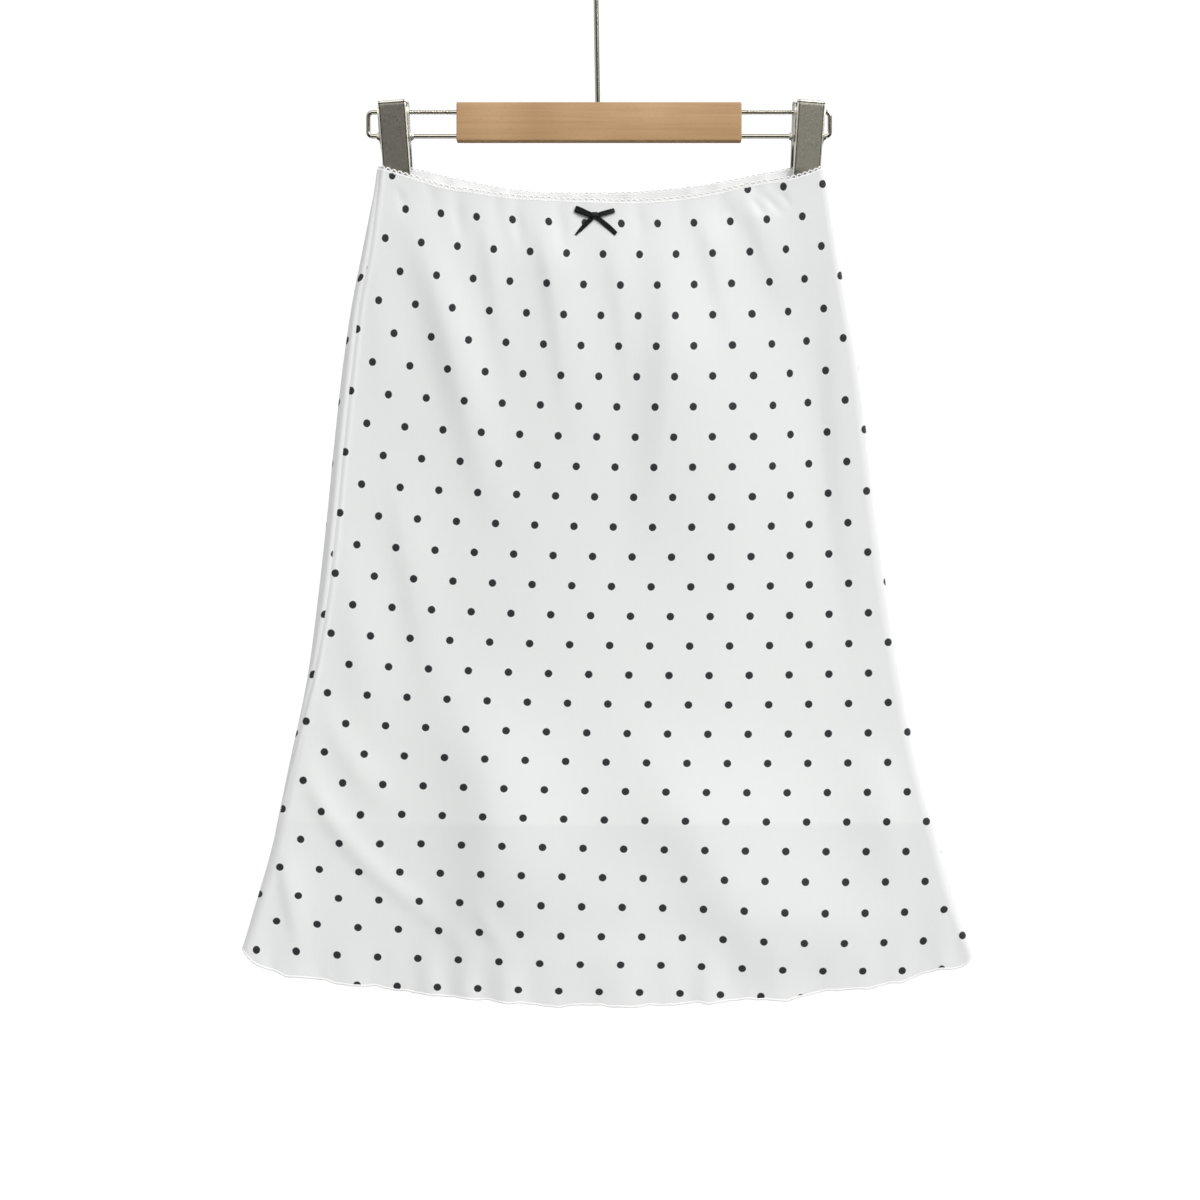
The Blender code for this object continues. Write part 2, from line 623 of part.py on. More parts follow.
def box(name, centre, size, finish_name):
    """A box with its own size in its mesh, placed by its location."""
    shape = bmesh.new()
    bmesh.ops.create_cube(shape, size=1.0, matrix=Matrix.Diagonal((*size, 1.0)))
    mesh = bpy.data.meshes.new(name)
    shape.to_mesh(mesh)
    shape.free()
    mesh.shade_smooth()
    mesh.set_sharp_from_angle(angle=math.radians(35))
    mesh.materials.append(finish(finish_name))
    made = bpy.data.objects.new(name, mesh)
    made.location = centre
    bpy.context.scene.collection.objects.link(made)
    return made


def bevel(made, width, segments):
    edges = made.modifiers.new("edges", "BEVEL")
    edges.width = width
    edges.segments = segments
    edges.limit_method = "ANGLE"


def cylinder_cutter(name, start, end, radius, sides=16):
    """A hidden rod that a Boolean takes away."""
    axis = end - start
    shape = bmesh.new()
    turn = axis.to_track_quat("Z", "Y").to_matrix().to_4x4()
    place = Matrix.Translation((start + end) / 2) @ turn
    bmesh.ops.create_cone(
        shape, cap_ends=True, segments=sides, radius1=radius, radius2=radius, depth=axis.length, matrix=place
    )
    mesh = bpy.data.meshes.new(name)
    shape.to_mesh(mesh)
    shape.free()
    made = bpy.data.objects.new(name, mesh)
    bpy.context.scene.collection.objects.link(made)
    hide(made)
    return made


def hide(helper):
    helper.hide_render = True
    helper.display_type = "WIRE"


def cut(made, cutter):
    taken = made.modifiers.new(f"cut {cutter.name}", "BOOLEAN")
    taken.operation = "DIFFERENCE"
    taken.object = cutter


def rod(name, path, radius, sides, finish_name, round_tip=False):
    """A round wire along a path of points, with flat ends or one domed tip."""
    path = list(path)
    radii = [radius] * len(path)
    if round_tip:
        direction = (path[-1] - path[-2]).normalized()
        tip = path[-1]
        for angle in (math.radians(35), math.radians(68)):
            path.append(tip + direction * radius * math.sin(angle))
            radii.append(radius * math.cos(angle))
    points = []
    across = Vector((0, 1, 0))
    for index, point in enumerate(path):
        direction = (path[min(index + 1, len(path) - 1)] - path[max(index - 1, 0)]).normalized()
        beside = direction.cross(across).normalized()
        for side in range(sides):
            angle = 2 * math.pi * side / sides
            points.append(point + (across * math.cos(angle) + beside * math.sin(angle)) * radii[index])
    faces = [tuple(reversed(range(sides)))]
    for index in range(len(path) - 1):
        for side in range(sides):
            corner = index * sides + side
            beside = index * sides + (side + 1) % sides
            faces.append((corner, beside, beside + sides, corner + sides))
    faces.append(tuple(range((len(path) - 1) * sides, len(path) * sides)))
    return add_mesh(name, points, faces, finish_name)


def arc_points(centre, radius, start, end, count):
    """Points on an arc in the XZ plane, angles from +X towards +Z."""
    return [
        centre + Vector((math.cos(angle), 0, math.sin(angle))) * radius
        for angle in np.linspace(start, end, count)
    ]


def build_bar():
    bar = box("hanger_bar", BAR_CENTRE, BAR_SIZE, "beech")
    bevel(bar, BAR_EDGE_RADIUS, 2)
    half_length = BAR_SIZE.x / 2
    for side, word in ((-1, "left"), (1, "right")):
        end_x = BAR_CENTRE.x + side * half_length
        for height, place in ((WIRE_UPPER_Z, "upper"), (WIRE_LOWER_Z, "lower")):
            start = Vector((end_x + side * HOLE_LEAD, 0, height))
            stop = Vector((end_x - side * HOLE_DEPTH, 0, height))
            cut(bar, cylinder_cutter(f"{word}_{place}_hole", start, stop, WIRE_RADIUS + PIECE_GAP))
    top, along_stem = stem_line()
    stem_hole = cylinder_cutter(
        "stem_hole", top + along_stem * HOLE_LEAD, top - along_stem * HOLE_DEPTH, HOOK_WIRE_RADIUS + PIECE_GAP
    )
    cut(bar, stem_hole)
    return bar


def stem_line():
    """Where the stem leaves the bar's top, and the direction in which it runs."""
    return (
        Vector((STEM_FOOT_X, 0, BAR_CENTRE.z + BAR_SIZE.z / 2)),
        Vector((-math.sin(STEM_LEAN), 0, math.cos(STEM_LEAN))),
    )


def build_hook():
    """A straight stem out of the bar, a bend to the right, and an open hook to the left."""
    top, along_stem = stem_line()
    foot = top - along_stem * (HOLE_DEPTH - HOLE_FLOOR)
    bend_start = top + along_stem * STEM_LENGTH
    centre = Vector((0, 0, -HOOK_INNER_RADIUS))
    hook = arc_points(centre, HOOK_INNER_RADIUS + HOOK_WIRE_RADIUS, HOOK_ROUND_START, HOOK_TAIL_ANGLE, 18)
    leave = Vector((-math.sin(HOOK_ROUND_START), 0, math.cos(HOOK_ROUND_START)))
    first_handle = bend_start + along_stem * HOOK_HANDLE
    last_handle = hook[0] - leave * HOOK_HANDLE
    bend = []
    for share in np.linspace(0, 1, 8)[1:-1]:
        rest = 1 - share
        point = bend_start * rest**3 + first_handle * 3 * share * rest**2
        bend.append(point + last_handle * 3 * share**2 * rest + hook[0] * share**3)
    return rod("hook", [foot, bend_start, *bend, *hook], HOOK_WIRE_RADIUS, 12, "plated_steel", round_tip=True)


def build_wire(name, side, end_x):
    """A hairpin: out of the bar, down round two corners, and back into it."""
    root_x = BAR_CENTRE.x + side * (BAR_SIZE.x / 2 - HOLE_DEPTH + HOLE_FLOOR)
    corner_x = end_x - side * WIRE_CORNER
    outwards = 0 if side > 0 else math.pi
    upper_centre = Vector((corner_x, 0, WIRE_UPPER_Z - WIRE_CORNER))
    upper = arc_points(upper_centre, WIRE_CORNER, math.pi / 2, outwards, CORNER_POINTS)
    lower_centre = Vector((corner_x, 0, WIRE_LOWER_Z + WIRE_CORNER))
    lower = arc_points(lower_centre, WIRE_CORNER, -outwards, -math.pi / 2, CORNER_POINTS)
    path = [Vector((root_x, 0, WIRE_UPPER_Z)), *upper, *lower, Vector((root_x, 0, WIRE_LOWER_Z))]
    return rod(name, path, WIRE_RADIUS, 10, "plated_steel")


def prism(name, outline, width, finish_name):
    """An outline in the YZ plane, in millimetres, drawn out to a width along X."""
    count = len(outline)
    points = []
    for x in (-width / 2, width / 2):
        points += [Vector((x, depth * MM, height * MM)) for depth, height in outline]
    faces = [tuple(range(count)), tuple(reversed(range(count, 2 * count)))]
    for index in range(count):
        beside = (index + 1) % count
        faces.append((index, index + count, beside + count, beside))
    return add_mesh(name, points, faces, finish_name, 30)


def build_jaw(name, facing, face, rear, width, holder):
    """A pressed tray: a plate with a flange down each side. facing is -1 for the front jaw."""
    def placed(rows):
        return [(facing * depth, height) for depth, height in rows]

    plate = CLIP_PLATE / MM
    jaw = prism(name, placed(face + rear), width, "pressed_steel")
    hollow = [(depth - plate, height) for depth, height in face]
    hollow[0] = (face[0][0] - JAW_TOP_WALL, HOLLOW_TOP)
    hollow[-1] = (hollow[-1][0], HOLLOW_FOOT)
    hollow += [(HOLLOW_REAR, HOLLOW_FOOT), (HOLLOW_REAR, HOLLOW_TOP)]
    inside = prism(f"{name}_hollow", placed(hollow), width - 2 * CLIP_PLATE, "pressed_steel")
    hide(inside)
    cut(jaw, inside)
    for height, radius, word in (
        (0.0, EYELET_RADIUS + PIECE_GAP + LEAN_PLAY, "eyelet"),
        (WIRE_UPPER_Z - WIRE_LOWER_Z, WIRE_RADIUS + PIECE_GAP + LEAN_PLAY, "wire"),
    ):
        hole = cylinder_cutter(
            f"{name}_{word}_hole", Vector((-width, 0, height)), Vector((width, 0, height)), radius
        )
        hole.parent = holder
        cut(jaw, hole)
    inside.parent = holder
    jaw.parent = holder
    return jaw


def build_eyelet(name, centre):
    """A flared tube round the lower wire, which both jaws turn on."""
    flare_start = BACK_JAW_WIDTH / 2 + EYELET_PLAY
    tip = flare_start + EYELET_FLARE_LENGTH
    profile = (
        (-tip, EYELET_BORE), (-tip, EYELET_FLARE), (-tip + EYELET_LIP, EYELET_FLARE),
        (-flare_start, EYELET_RADIUS), (flare_start, EYELET_RADIUS),
        (tip - EYELET_LIP, EYELET_FLARE), (tip, EYELET_FLARE), (tip, EYELET_BORE),
    )
    sides = EYELET_SIDES
    points = []
    for x, radius in profile:
        for side in range(sides):
            angle = 2 * math.pi * side / sides
            points.append(Vector((x, radius * math.cos(angle), radius * math.sin(angle))))
    faces = []
    rings = len(profile)
    for ring in range(rings):
        for side in range(sides):
            beside = (side + 1) % sides
            after = (ring + 1) % rings
            faces.append(
                (ring * sides + side, ring * sides + beside, after * sides + beside, after * sides + side)
            )
    eyelet = add_mesh(name, points, faces, "plated_steel")
    eyelet.location = centre
    return eyelet


def build_clip(word, x, lean):
    holder = bpy.data.objects.new(f"clip_{word}", None)
    holder.location = (x * MM, 0, WIRE_LOWER_Z)
    holder.rotation_euler = (0, -math.radians(lean), 0)
    bpy.context.scene.collection.objects.link(holder)
    build_jaw(f"clip_{word}_front_jaw", -1, FRONT_JAW_FACE, FRONT_JAW_REAR, FRONT_JAW_WIDTH, holder)
    build_jaw(f"clip_{word}_back_jaw", 1, BACK_JAW_FACE, BACK_JAW_REAR, BACK_JAW_WIDTH, holder)
    build_eyelet(f"clip_{word}_eyelet", holder.location)


def main():
    clear_scene()
    build_panel("front_panel", front_start, front_end, FRONT_COLUMNS)
    build_panel("back_panel", back_start, back_end, BACK_COLUMNS)
    build_elastic("waist_elastic_front", front_start, front_end, FRONT_COLUMNS)
    build_elastic("waist_elastic_back", back_start, back_end, BACK_COLUMNS)
    for row in BOW_LOOPS:
        build_bow_loop(*row)
    for row in BOW_TAILS:
        build_bow_tail(*row)
    build_bow_knot()
    build_bar()
    build_hook()
    build_wire("hanger_wire_left", -1, WIRE_END_LEFT)
    build_wire("hanger_wire_right", 1, WIRE_END_RIGHT)
    for word, x, lean in CLIPS:
        build_clip(word, x, lean)


main()
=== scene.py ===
"""A knee-length mermaid skirt of white jersey with charcoal dots, on a wooden clip hanger.

The skirt hangs by its waist from two pressed steel clips. It is made of a front and a back
panel with a rolled hem, a waist elastic with picot loops, and a small satin bow. Units are
metres with +Z up, and the front of the skirt faces -Y. The tables are in millimetres, and
heights on the skirt are given as a drop below the place where the hook rests on its rail.
"""

import math

import bmesh
import bpy
import numpy as np
from bpy.props import FloatProperty, FloatVectorProperty, PointerProperty
from mathutils import Matrix, Vector


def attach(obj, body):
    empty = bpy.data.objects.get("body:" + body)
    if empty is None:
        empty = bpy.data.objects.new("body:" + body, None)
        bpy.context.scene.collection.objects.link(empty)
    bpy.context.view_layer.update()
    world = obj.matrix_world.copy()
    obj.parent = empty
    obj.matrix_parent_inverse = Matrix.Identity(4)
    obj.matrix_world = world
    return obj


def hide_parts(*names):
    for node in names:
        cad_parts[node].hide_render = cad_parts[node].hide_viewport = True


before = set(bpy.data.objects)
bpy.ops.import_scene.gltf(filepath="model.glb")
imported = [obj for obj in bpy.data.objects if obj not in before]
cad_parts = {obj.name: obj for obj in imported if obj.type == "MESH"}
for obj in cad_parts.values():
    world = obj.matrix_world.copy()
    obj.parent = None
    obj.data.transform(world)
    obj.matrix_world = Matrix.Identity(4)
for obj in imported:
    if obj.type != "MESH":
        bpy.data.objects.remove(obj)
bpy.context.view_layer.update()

bl_info = {
    "name": "Mermaid skirt on a clip hanger",
    "version": (1, 0, 0),
    "blender": (4, 5, 0),
    "location": "3D View > Sidebar > Skirt",
    "description": "Builds a dotted jersey skirt with its bow, picot waist and clip hanger",
    "category": "Object",
}

MM = 0.001

# Distance and height of the camera, and the width of the picture at the hanger
CAMERA_DISTANCE = 2.0
CAMERA_HEIGHT = -0.4798
PICTURE_WIDTH = 0.8688
SENSOR_WIDTH = 36.0

# One row for each level of the skirt: the drop below the hook's rest, the x of the left
# and right outline, the half depth in the middle, the radius of the side folds, the y of
# the middle of the depth, and how far round from the outline each side seam lies
# (left: towards the front, right: towards the back).
LEVEL_COLUMNS = ("drop", "left", "right", "half_depth", "side_radius", "mid_y", "seam_left", "seam_right")
LEVELS = (
    (167, -160.4, 161.6, 7.2, 5.4, -4.4, 4.6, 5.0),
    (183, -162.9, 164.7, 7.8, 5.4, -4.4, 5.7, 6.0),
    (205, -167.2, 168.0, 10.0, 5.7, -4.2, 7.6, 7.0),
    (234, -173.0, 173.0, 12.5, 6.2, -3.6, 9.6, 8.0),
    (263, -178.8, 178.1, 14.5, 6.6, -2.8, 9.8, 8.5),
    (306, -185.3, 186.1, 16.5, 7.0, -2.4, 11.2, 9.0),
    (364, -191.9, 193.3, 18.5, 7.4, -2.0, 11.8, 9.0),
    (422, -197.7, 200.5, 20.0, 8.0, -1.6, 12.2, 9.0),
    (480, -204.2, 208.5, 21.5, 8.4, -1.2, 12.4, 8.5),
    (538, -212.1, 218.6, 23.0, 8.6, -0.8, 9.5, 7.0),
    (581, -220.8, 226.6, 24.0, 8.6, -0.5, 6.0, 5.0),
    (625, -229.9, 237.5, 25.0, 8.4, -0.3, 2.5, 3.0),
    (668, -239.6, 248.3, 26.5, 8.0, 0.0, 0.0, 0.0),
    (697, -248.0, 256.7, 28.0, 7.6, 0.0, -1.0, -1.0),
    (719, -254.8, 264.6, 29.0, 7.2, 0.0, -1.0, -1.0),
    (733, -259.2, 270.1, 30.0, 7.0, 0.0, -1.0, -1.0),
    (777, -263.5, 275.1, 31.0, 7.0, 0.0, -1.0, -1.0),
)

# The waist edge of the cloth: x, and the drop of the edge there.
EDGE_COLUMNS = ("x", "drop")
FRONT_WAIST = (
    (-161, 169.2), (-133, 177.3), (-116, 182.8), (-88, 187.4), (-66, 190.7), (-33, 192.8), (0, 194.2),
    (29, 194.4), (51, 192.9), (68, 190.9), (87, 187.2), (107, 182.4), (126, 179.2), (138, 177.4),
    (149, 174.2), (162, 169.2),
)
BACK_WAIST = (
    (-161, 169.2), (-148, 168.4), (-135, 170.1), (-116, 174.8), (-77, 182.6), (-55, 186.0), (-29, 187.2),
    (0, 187.2), (29, 186.4), (49, 184.8), (74, 182.2), (93, 178.6), (126, 172.1), (148, 168.4), (162, 169.2),
)

# The lower edge of the cloth without its waves: the share of the half width, from -1 at
# the left outline to 1 at the right, and the drop of the edge there.
HEM_COLUMNS = ("across", "drop")
FRONT_HEM = (
    (-1.0, 732), (-0.97, 739.4), (-0.90, 747), (-0.80, 751.8), (-0.62, 757), (-0.45, 762.6),
    (-0.27, 766.1), (-0.10, 768.1), (0.10, 768.1), (0.27, 766.6), (0.45, 764.6), (0.62, 759.5),
    (0.78, 754.3), (0.90, 745.5), (0.97, 742.4), (1.0, 734),
)
BACK_HEM = (
    (-1.0, 732), (-0.97, 738), (-0.90, 744), (-0.80, 749), (-0.60, 757), (-0.30, 764), (0.0, 767),
    (0.30, 764), (0.60, 757), (0.80, 750), (0.90, 743), (0.97, 739), (1.0, 734),
)

# Waves of the hem: x at the hem, half width, how far the cloth stands out, and how far
# the edge dips. Each fades out upwards over WAVE_HEIGHT.
WAVE_HEIGHT = 62.0
WAVE_MIDDLE = 1.4
WAVE_SHARE = 0.7
WAVE_COLUMNS = ("x", "half_width", "out", "dip")
FRONT_WAVES = (
    (-247, 8, 2.0, 1.0), (-221, 13, 2.6, 2.0), (-179, 16, 2.2, 2.5), (-145, 11, 1.2, 1.5),
    (-121, 10, 4.2, 1.5), (-95, 10, 5.2, 1.0), (-66, 12, 5.6, 1.5), (-34, 15, 2.2, 2.5),
    (18, 17, 3.2, 2.0), (50, 10, 1.4, 1.5), (79, 10, 4.4, 1.5), (131, 15, 3.6, 3.0),
    (170, 9, 1.2, 0.5), (189, 15, 2.8, 2.0), (217, 9, 1.6, 1.5), (247, 9, 2.4, 1.5),
)
BACK_WAVES = (
    (-240, 10, 3.5, 1.0), (-206, 13, 5.0, 1.5), (-168, 12, 4.0, 1.0), (-128, 15, 6.0, 2.0),
    (-86, 12, 4.5, 1.5), (-49, 13, 5.5, 1.5), (-8, 15, 6.0, 2.0), (36, 12, 4.5, 1.0),
    (74, 14, 5.5, 2.0), (112, 12, 4.0, 1.0), (152, 15, 6.0, 2.0), (196, 12, 5.0, 1.5),
    (236, 11, 4.0, 1.0),
)
HEM_HALF_WIDTH = 264.0
HEM_MIDDLE = 5.0
WAVE_CALM_FROM = 0.86
RIPPLE_PITCH = 19.0
RIPPLE_DIP = 0.45
RIPPLE_OUT = 0.22
RIPPLE_HEIGHT = 14.0

# Folds: the crest's line as points of x and drop, the half width on its left and on its
# right, how far the cloth stands out, and the share of the line where it stands out most.
# A trough stands out by less than nothing.
FRONT_FOLDS = (
    (((-142, 184), (-136, 198), (-123, 235), (-101, 320), (-79, 407), (-62, 455)), 13, 18, 4.6, 0.38),
    (((-84, 190), (-78, 241), (-62, 345)), 7, 10, 1.4, 0.3),
    (((-45, 196), (-36, 241), (-22, 342), (-14, 392)), 8, 19, 2.6, 0.25),
    (((5, 200), (13, 248), (24, 345), (28, 385)), 8, 15, 1.5, 0.3),
    (((46, 196), (52, 248), (52, 299), (43, 407), (34, 480)), 18, 46, 7.4, 0.4),
    (((72, 190), (84, 241), (104, 330)), 8, 17, 1.9, 0.25),
    (((103, 181), (116, 216), (138, 284)), 8, 15, 1.8, 0.25),
    (((158, 218), (155, 277), (160, 386), (175, 516), (184, 575)), 20, 10, -2.6, 0.35),
    (((116, 250), (109, 335), (98, 407), (83, 501), (70, 610)), 40, 26, 3.2, 0.45),
    (((-161, 215), (-157, 290), (-150, 375)), 10, 18, 0.9, 0.4),
    (((-149, 370), (-140, 436), (-120, 545), (-111, 585)), 10, 20, 1.9, 0.4),
    (((-180, 420), (-176, 480), (-166, 600)), 14, 20, 2.0, 0.5),
    (((-202, 540), (-182, 590), (-152, 640)), 9, 14, 1.6, 0.6),
    (((-112, 500), (-93, 560), (-75, 617), (-72, 661), (-84, 726), (-88, 765)), 31, 46, 9.0, 0.62),
    (((28, 545), (54, 610), (76, 646), (94, 682), (117, 733), (126, 765)), 32, 78, 6.8, 0.72),
    (((192, 570), (202, 617), (208, 700)), 22, 14, 2.6, 0.5),
    (
        (
            (-221, 575), (-213, 597), (-203, 622), (-184, 652), (-160, 677), (-122, 707), (-92, 734),
            (-70, 765),
        ),
        6.5, 9.0, 1.7, 0.35,
    ),
    (((-233, 640), (-228, 670), (-222, 705), (-216, 745)), 5.5, 12, 2.0, 0.5),
    (((-86, 690), (-80, 712), (-66, 738)), 6, 7, 1.0, 0.5),
)
BACK_FOLDS = (
    (((-150, 195), (-138, 240), (-112, 360)), 10, 15, 2.8, 0.2),
    (((-100, 195), (-94, 270), (-86, 380)), 8, 14, 2.4, 0.25),
    (((-44, 200), (-46, 300), (-54, 430)), 9, 15, 2.8, 0.2),
    (((6, 202), (9, 280), (12, 390)), 8, 14, 2.0, 0.3),
    (((46, 200), (44, 320), (40, 440)), 9, 14, 2.8, 0.2),
    (((100, 195), (108, 260), (122, 380)), 8, 13, 2.4, 0.2),
    (((150, 205), (156, 300), (168, 430)), 20, 10, -2.4, 0.4),
    (((-172, 400), (-180, 480), (-192, 610)), 14, 18, 2.2, 0.5),
    (((-112, 500), (-126, 620), (-148, 760)), 24, 34, 5.0, 0.6),
    (((-40, 470), (-44, 600), (-52, 765)), 26, 30, 4.5, 0.6),
    (((36, 520), (42, 640), (48, 765)), 24, 28, 5.0, 0.6),
    (((104, 480), (118, 620), (136, 765)), 26, 26, 4.5, 0.6),
    (((186, 560), (200, 640), (214, 750)), 16, 16, 3.0, 0.6),
)

# Fine creases that the solids leave out, in the same columns.
FRONT_CREASES = (
    (((-104, 190), (-100, 226)), 4, 5, -0.6, 0.4),
    (((-60, 196), (-56, 236)), 4, 4, -0.8, 0.4),
    (((-28, 196), (-27, 240)), 4, 4, -0.7, 0.4),
    (((30, 196), (30, 230)), 4, 5, -0.5, 0.4),
    (((108, 187), (120, 207)), 2.4, 2.8, -0.8, 0.5),
    (((117, 185), (131, 204)), 2.4, 2.8, -0.7, 0.5),
    (((128, 182), (139, 199)), 2.2, 2.6, -0.5, 0.5),
    (((92, 191), (97, 218)), 4, 4, -0.5, 0.4),
    (((-146, 180), (-139, 208)), 3.4, 3.8, -0.6, 0.4),
)
BACK_CREASES = (
    (((-110, 182), (-102, 216)), 4.5, 4.5, -0.8, 0.4),
    (((-64, 190), (-58, 228)), 4.5, 4.5, -0.8, 0.4),
    (((28, 194), (30, 232)), 4.5, 4.5, -0.7, 0.4),
    (((92, 186), (100, 222)), 4.5, 4.5, -0.8, 0.4),
    (((126, 180), (136, 204)), 3.0, 3.0, -0.8, 0.4),
)

# Gathers under the waist elastic: x at the waist, how far their foot lies to the right,
# length, half width and how deep each one is.
FRONT_GATHERS = (
    (-124, 7, 34, 5.0, 0.6), (-104, 4, 46, 5.2, 0.8), (-76, 3, 38, 4.8, 0.65),
    (-60, 2, 30, 4.8, 0.55), (-30, 0, 40, 5.2, 0.7), (-14, 0, 30, 4.8, 0.55), (26, 0, 44, 5.2, 0.8),
    (57, 1, 36, 5.0, 0.6), (86, 4, 48, 5.2, 0.7), (112, 8, 34, 5.0, 0.7), (125, 8, 30, 5.0, 0.6),
)
BACK_GATHERS = (
    (-122, 4, 36, 4.8, 1.0), (-104, 4, 44, 4.8, 1.2), (-72, 2, 38, 4.8, 1.1), (-54, 1, 32, 4.8, 1.0),
    (-22, 0, 46, 4.8, 1.2), (-6, 0, 34, 4.8, 1.0), (22, 0, 42, 4.8, 1.2), (66, 2, 38, 4.8, 1.1),
    (86, 3, 46, 4.8, 1.2), (118, 5, 36, 4.8, 1.0),
)

# Mesh of the cloth, the side folds' calm zone, and the relief beside a side seam
PANEL_COLUMNS = {"front": 280, "back": 200}
PANEL_ROWS = {"front": 150, "back": 124}
COLUMN_CROWDING = 0.55
ROW_CROWDING = 0.45
SIDE_FADE = 16.0
SEAM_DIP = (0.32, 0.9)
SEAM_RIDGE = (0.5, 2.8, 1.5)
SEAM_FADE = (700.0, 40.0)

# Where the search for a point's drop starts, how many rounds it and the print's take, and
# the steps to either side that give the cloth's slope
FIRST_WAIST = 180.0
FIRST_LENGTH = 560.0
DROP_ROUNDS = 7
PRINT_ROUNDS = 12
SLOPE_ROUND = 0.001
SLOPE_DOWN = 0.0008
SLOPE_DOWN_MM = 0.4

# The print: pitch across and down, how the rows sway and tilt, and how the pitch changes
PRINT_MIDDLE = (8.275, 470.0)
PRINT_ACROSS = {"u": 28.74, "v": -0.649, "uv": 0.135, "uvv": -0.0068, "uuu": -0.0035}
PRINT_DOWN = {"u": 0.4315, "v": 21.44, "vv": -0.0381, "uu": -0.1344, "uv": 0.0178, "uuv": 0.00985}
BACK_PRINT_MIDDLE = (-6.4, 479.0)
# Where the front's cloth is drawn aside: x and drop, how far round that it reaches across
# and down, and how far the print moves to the right and down
PRINT_STRETCH = (
    (-35, 194, 105, 15, -2.2, 0.0), (163, 180, 16, 15, 3.2, 0.6), (118, 330, 22, 95, 2.8, 0.8),
    (150, 724, 78, 40, 1.0, 3.9), (-25, 728, 62, 34, 0.6, 2.2), (-236, 722, 42, 30, -1.6, -3.8),
    (262, 722, 20, 24, 0.0, -4.2), (-178, 650, 24, 30, -1.4, 2.4),
)
# How far a dot's ink spreads beyond its drawn edge, and half the width of that edge
DOT_SPREAD = 0.25
DOT_EDGE = 0.22
# The lining's hem, drawn as painted shade: its drop, the x where the painted step is faint and
# where it is plain, and the painted shade of the single layer below it
LINING_HEM_DROP = 640.0
LINING_FAINT_X = -150.0
LINING_PLAIN_X = -90.0
SINGLE_LAYER_PAINTED_SHADE = (0.948, 0.953, 0.952, 1.0)

# Waist elastic, its loops and its stitching
TRIM_CROWDING = 0.3
ELASTIC_INSIDE = 0.12
ELASTIC_THICK = 0.9
ELASTIC_TOP = -1.5
ELASTIC_ROWS = (ELASTIC_TOP, -0.8, 0.6, 3.0, 6.0, 8.5)
ELASTIC_COLUMNS = 200
PICOT_PITCH = 4.25
PICOT_SPAN = 3.5
PICOT_HEIGHT = {"front": 1.8, "back": 1.3}
PICOT_THREAD = {"front": 0.6, "back": 0.45}
PICOT_SIDES = 6
PICOT_STEPS = 11
PICOT_SUNK = 0.2
STITCH_PITCH = 2.5
STITCH_ROWS = (-0.8, 0.5)
STITCH_THREAD = 0.17
STITCH_SIDES = 5
STITCH_OFF = (-0.08, 0.10)

# Rolled hem
ROLL_HALF_HEIGHT = 0.85
ROLL_HALF_DEPTH = 0.6
ROLL_BELOW_EDGE = 0.35
ROLL_BEHIND = 0.3
ROLL_STEPS = 420
ROLL_SIDES = 12

# Side seam allowance inside the skirt: steps across it in millimetres, and its first and
# last place down the panel
ALLOWANCE_STEPS = (0.4, 2.5, 5.0, 7.0)
ALLOWANCE_ENDS = (0.022, 0.992)
ALLOWANCE_ROWS = 150
ALLOWANCE_THICK = 0.7
ALLOWANCE_GAP = 0.05
PANEL_WIDTH = 420.0

# Bow: each piece as points from the bow's centre across, up and off the cloth, with the
# ribbon's width there
BOW_CENTRE = (-3.7, 203.6)
RIBBON_THICK = 0.28
RIBBON_STEPS = 44
RIBBON_ACROSS = (-1.0, -0.93, -0.5, 0.0, 0.5, 0.93, 1.0)
RIBBON_EDGE = 0.35
RIBBON_CURL = 0.10
BOW_PIECES = {
    "bow_left_loop": (
        (0.4, -0.4, 1.7, 3.0), (-3.0, 0.4, 2.3, 3.4), (-7.0, 1.8, 2.5, 4.0), (-11.0, 3.4, 2.2, 4.4),
        (-13.6, 4.3, 1.6, 4.4), (-14.1, 4.5, 1.2, 4.3), (-13.6, 4.3, 0.8, 4.4), (-10.6, 3.2, 0.6, 4.2),
        (-7.0, 1.8, 0.6, 3.8), (-3.0, 0.3, 0.8, 3.2), (0.0, -0.6, 0.8, 3.0),
    ),
    "bow_right_loop": (
        (-0.6, -0.3, 1.7, 2.6), (3.0, 0.7, 2.3, 2.7), (7.0, 1.9, 2.4, 3.0), (11.0, 3.1, 2.1, 3.1),
        (13.6, 3.9, 1.6, 3.1), (14.2, 4.1, 1.2, 3.0), (13.6, 3.9, 0.8, 3.1), (10.6, 3.0, 0.6, 3.0),
        (7.0, 1.9, 0.6, 2.9), (3.0, 0.7, 0.8, 2.6), (0.0, -0.3, 0.8, 2.4),
    ),
    "bow_left_tail": (
        (1.0, 0.8, 0.8, 3.0), (-2.0, -1.9, 1.0, 3.2), (-6.0, -5.8, 0.8, 3.3), (-10.0, -10.0, 0.5, 2.7),
        (-14.2, -14.6, 0.4, 1.3),
    ),
    "bow_right_tail": (
        (-1.0, 0.8, 1.0, 3.2), (2.4, -2.0, 1.2, 3.4), (6.2, -5.2, 0.9, 3.6), (10.4, -8.8, 0.6, 3.7),
        (14.6, -12.9, 0.5, 3.2),
    ),
}
KNOT_SIZE = (5.6, 3.0, 4.6)
KNOT_SIDES = 28
KNOT_RINGS = 15
KNOT_OFF = 0.3

